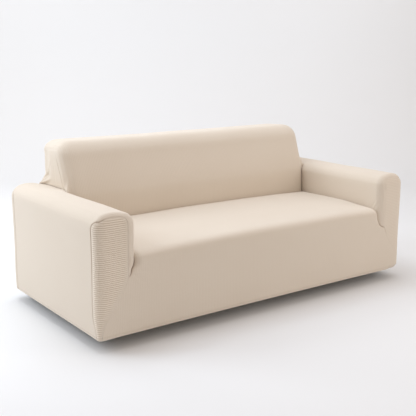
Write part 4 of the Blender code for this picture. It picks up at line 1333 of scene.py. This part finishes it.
arm_net = as_net(arm_points)
arm_stops = stops(arm_net, ARM_STEP), stops(arm_net.transpose(1, 0, 2), ARM_STEP)
fine_arm = fine_net(arm_net, step=ARM_STEP)
common = arm_stops[0].index(float(len(SLOT_ROWS) - 1))
arm_run = run_down(fine_arm)
arm_uv = np.stack([arm_run - arm_run[common] + COMMON_ROW, run_across(fine_arm)], axis=-1)
fine_cut = [places.index(float(first)) for places, first in zip(arm_stops, arm_cut)]
for side, word in SIDES:
    sew(f"arm_cover_{word}_knit", [lay_grid(fine_arm, arm_uv, fine_cut)], plain_knit, side)

# %% [markdown]
# ## The arm fronts
# The facings carry level ribs. A bump pattern could show them, but on the arm's edge it would stay flat. So
# they are real relief here, with rows of points a quarter of a rib apart.

# %% Sew the arm fronts
RIB_RELIEF = 0.0007
RIBS_SHOW = {-1: 1.0, 1: 0.18}  # the right arm's cloth is stretched flatter
TOPSTITCH, TOPSTITCH_WIDTH, TOPSTITCH_DEPTH = 0.011, 0.0016, 0.0009
OUTER_SIDE = (0.010, 0.022)     # between these depths the facing turns to the arm's outer side
RIBS_FROM, RIBS_FADE, RIBS_FADE_LOW, RIBS_FADE_OUTER = 0.002, 0.010, 0.030, 0.004
LOW_FACING = (0.33, 0.25)
RIBS_ABOVE_HEM = 0.024


def level_ribs(points, seam):
    """The relief of ribs along lines of equal height, with the stitching beside the outer seam, and how far
    the ribs show: they fade out towards the apron and the arm's inner edge."""
    y, z = points[:, Y], points[:, Z]
    outer = smooth(y, *OUTER_SIDE)
    stitched = -TOPSTITCH_DEPTH * outer * bell(seam, TOPSTITCH, TOPSTITCH_WIDTH)
    start = mix(RIBS_FROM, TOPSTITCH, outer)
    fade = mix(mix(RIBS_FADE, RIBS_FADE_LOW, smooth(z, *LOW_FACING)), RIBS_FADE_OUTER, outer)
    shown = smooth(seam, start, start + fade) * smooth(z, HEM_STITCH, RIBS_ABOVE_HEM)
    shown *= RIBS_SHOW[int(np.sign(points[0, X]))]
    return stitched + RIB_RELIEF * np.sin(z * 2.0 * math.pi / RIB_PITCH) * shown, shown


facing_net = fine_net(as_net(facing_points()), step=RIB_PITCH / 4.0)
facing_uv = np.stack([facing_net[..., 2], run_across(facing_net)], axis=-1)
for side, word in SIDES:
    sew(f"arm_facing_{word}_knit", [lay_grid(facing_net, facing_uv)], ribbed_knit, side, level_ribs)

# %% [markdown]
# ## The floor and the wall
# A plain pale floor runs up into a pale wall behind. Two planes would show an edge between them, so one
# profile is drawn out sideways instead: level, round the bend and up.

# %% Floor and wall
FLOOR_BELOW_HEM = 0.059
PALE = (0.835, 0.855, 0.875, 1.0)
SWEEP_NEAR, SWEEP_BEND, SWEEP_RADIUS, SWEEP_TOP, SWEEP_WIDE = -8.0, 3.0, 1.5, 7.0, 9.0


def backdrop():
    """A floor that curves up into a wall, square to the camera's line of sight."""
    deselect_all()
    bpy.ops.mesh.primitive_plane_add(size=1.0)
    sweep = bpy.context.object
    sweep.name = "pale_sweep"
    sweep.data.clear_geometry()
    profile = [(SWEEP_NEAR, 0.0), (SWEEP_BEND, 0.0)]
    profile += [(SWEEP_BEND + SWEEP_RADIUS * math.sin(a), SWEEP_RADIUS - SWEEP_RADIUS * math.cos(a))
                for a in np.linspace(0.1, math.pi / 2, 12)]
    profile += [(SWEEP_BEND + SWEEP_RADIUS, SWEEP_TOP)]
    ahead = Vector((math.sin(CAMERA_TURN), math.cos(CAMERA_TURN), 0.0))
    right = Vector((ahead.y, -ahead.x, 0.0))
    low = TO_FRAME.z - FLOOR_BELOW_HEM
    vertices = [ahead * forward + right * wide + Vector((0.0, 0.0, low + height))
                for forward, height in profile for wide in (-SWEEP_WIDE, SWEEP_WIDE)]
    faces = [(2 * k, 2 * k + 1, 2 * k + 3, 2 * k + 2) for k in range(len(profile) - 1)]
    sweep.data.from_pydata(vertices, [], faces)
    sweep.data.shade_smooth()
    material = bpy.data.materials.new("pale_paper")
    material.use_nodes = True
    shader = material.node_tree.nodes["Principled BSDF"]
    shader.inputs["Base Color"].default_value = PALE
    shader.inputs["Roughness"].default_value = 0.9
    sweep.data.materials.append(material)
    return sweep


backdrop()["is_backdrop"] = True
print("floor", FLOOR_BELOW_HEM, "below the hem")

# %% [markdown]
# ## The light
# A large soft light stands at the left and a little behind, with a weaker one nearer and higher, and one
# overhead. A warm one fills from the front right, two wash the wall, and a warm world keeps shadows soft.

# %% Lights
MIDDLE = (0.0, 0.0, -0.4)
LIGHTS = (
    # name, place, what it points at, size, power, colour
    ("Key", (-3.6, 1.8, 1.6), MIDDLE, (2.4, 2.4), 88.7, (0.923, 1.017, 1.112)),
    ("Upper left", (-1.4, 1.0, 3.0), MIDDLE, (2.4, 2.4), 24.9, (0.958, 1.014, 1.080)),
    ("Overhead", (0.0, 0.0, 3.0), MIDDLE, (3.0, 2.4), 50.8, (0.918, 1.010, 1.140)),
    ("Fill", (2.6, -3.6, 1.2), MIDDLE, (2.5, 2.5), 37.0, (1.070, 0.996, 0.934)),
    ("Wall light", (-1.2, 3.4, 3.2), (0.4, 4.7, 0.6), (2.5, 1.5), 36.0, (0.993, 1.003, 1.004)),
    ("Wall light right", (2.8, 1.0, 2.0), (4.8, 2.3, 1.2), (1.5, 1.5), 7.5, (1.0, 1.0, 1.0)),
)
WORLD_COLOUR, WORLD_STRENGTH = (1.0, 0.868, 0.775, 1.0), 0.538

for name, place, target, size, power, colour in LIGHTS:
    light = bpy.data.lights.new(name, "AREA")
    light.shape = "RECTANGLE"
    light.size, light.size_y = size
    light.energy = power
    light.color = colour
    lamp = bpy.data.objects.new(name, light)
    lamp.location = place
    lamp.rotation_euler = (Vector(target) - Vector(place)).to_track_quat("-Z", "Y").to_euler()
    bpy.context.scene.collection.objects.link(lamp)
world = bpy.data.worlds.new("Studio")
bpy.context.scene.world = world
world.use_nodes = True
world.node_tree.nodes["Background"].inputs["Color"].default_value = WORLD_COLOUR
world.node_tree.nodes["Background"].inputs["Strength"].default_value = WORLD_STRENGTH
bpy.context.scene.view_settings.view_transform = "Standard"
print(len(LIGHTS), "lights")

# %% [markdown]
# ## What each piece is
# Each cloth stands for its solid: the solid is hidden, and the cloth is attached to the root in its place.
# The table gives the size to which each was cut; a stretch knit is cut smaller than its shape when worn,
# here by 7 % of its area.

CUTS = {
    # piece: flat width and length, share of that rectangle
    "seat_and_apron": (1.86, 1.00, 0.850),
    "inside_back": (1.66, 0.66, 0.985),
    "outside_back": (2.02, 0.75, 0.930),
    **{f"arm_cover_{word}": (0.86, 0.94, 0.895) for _, word in SIDES},
    **{f"arm_facing_{word}": (0.20, 0.52, 0.770) for _, word in SIDES},
}
for node, (width, length, share) in CUTS.items():
    piece = made[f"{node}_knit"]
    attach(piece, "root")
    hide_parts(node)
print(len(CUTS), "sheets declared")
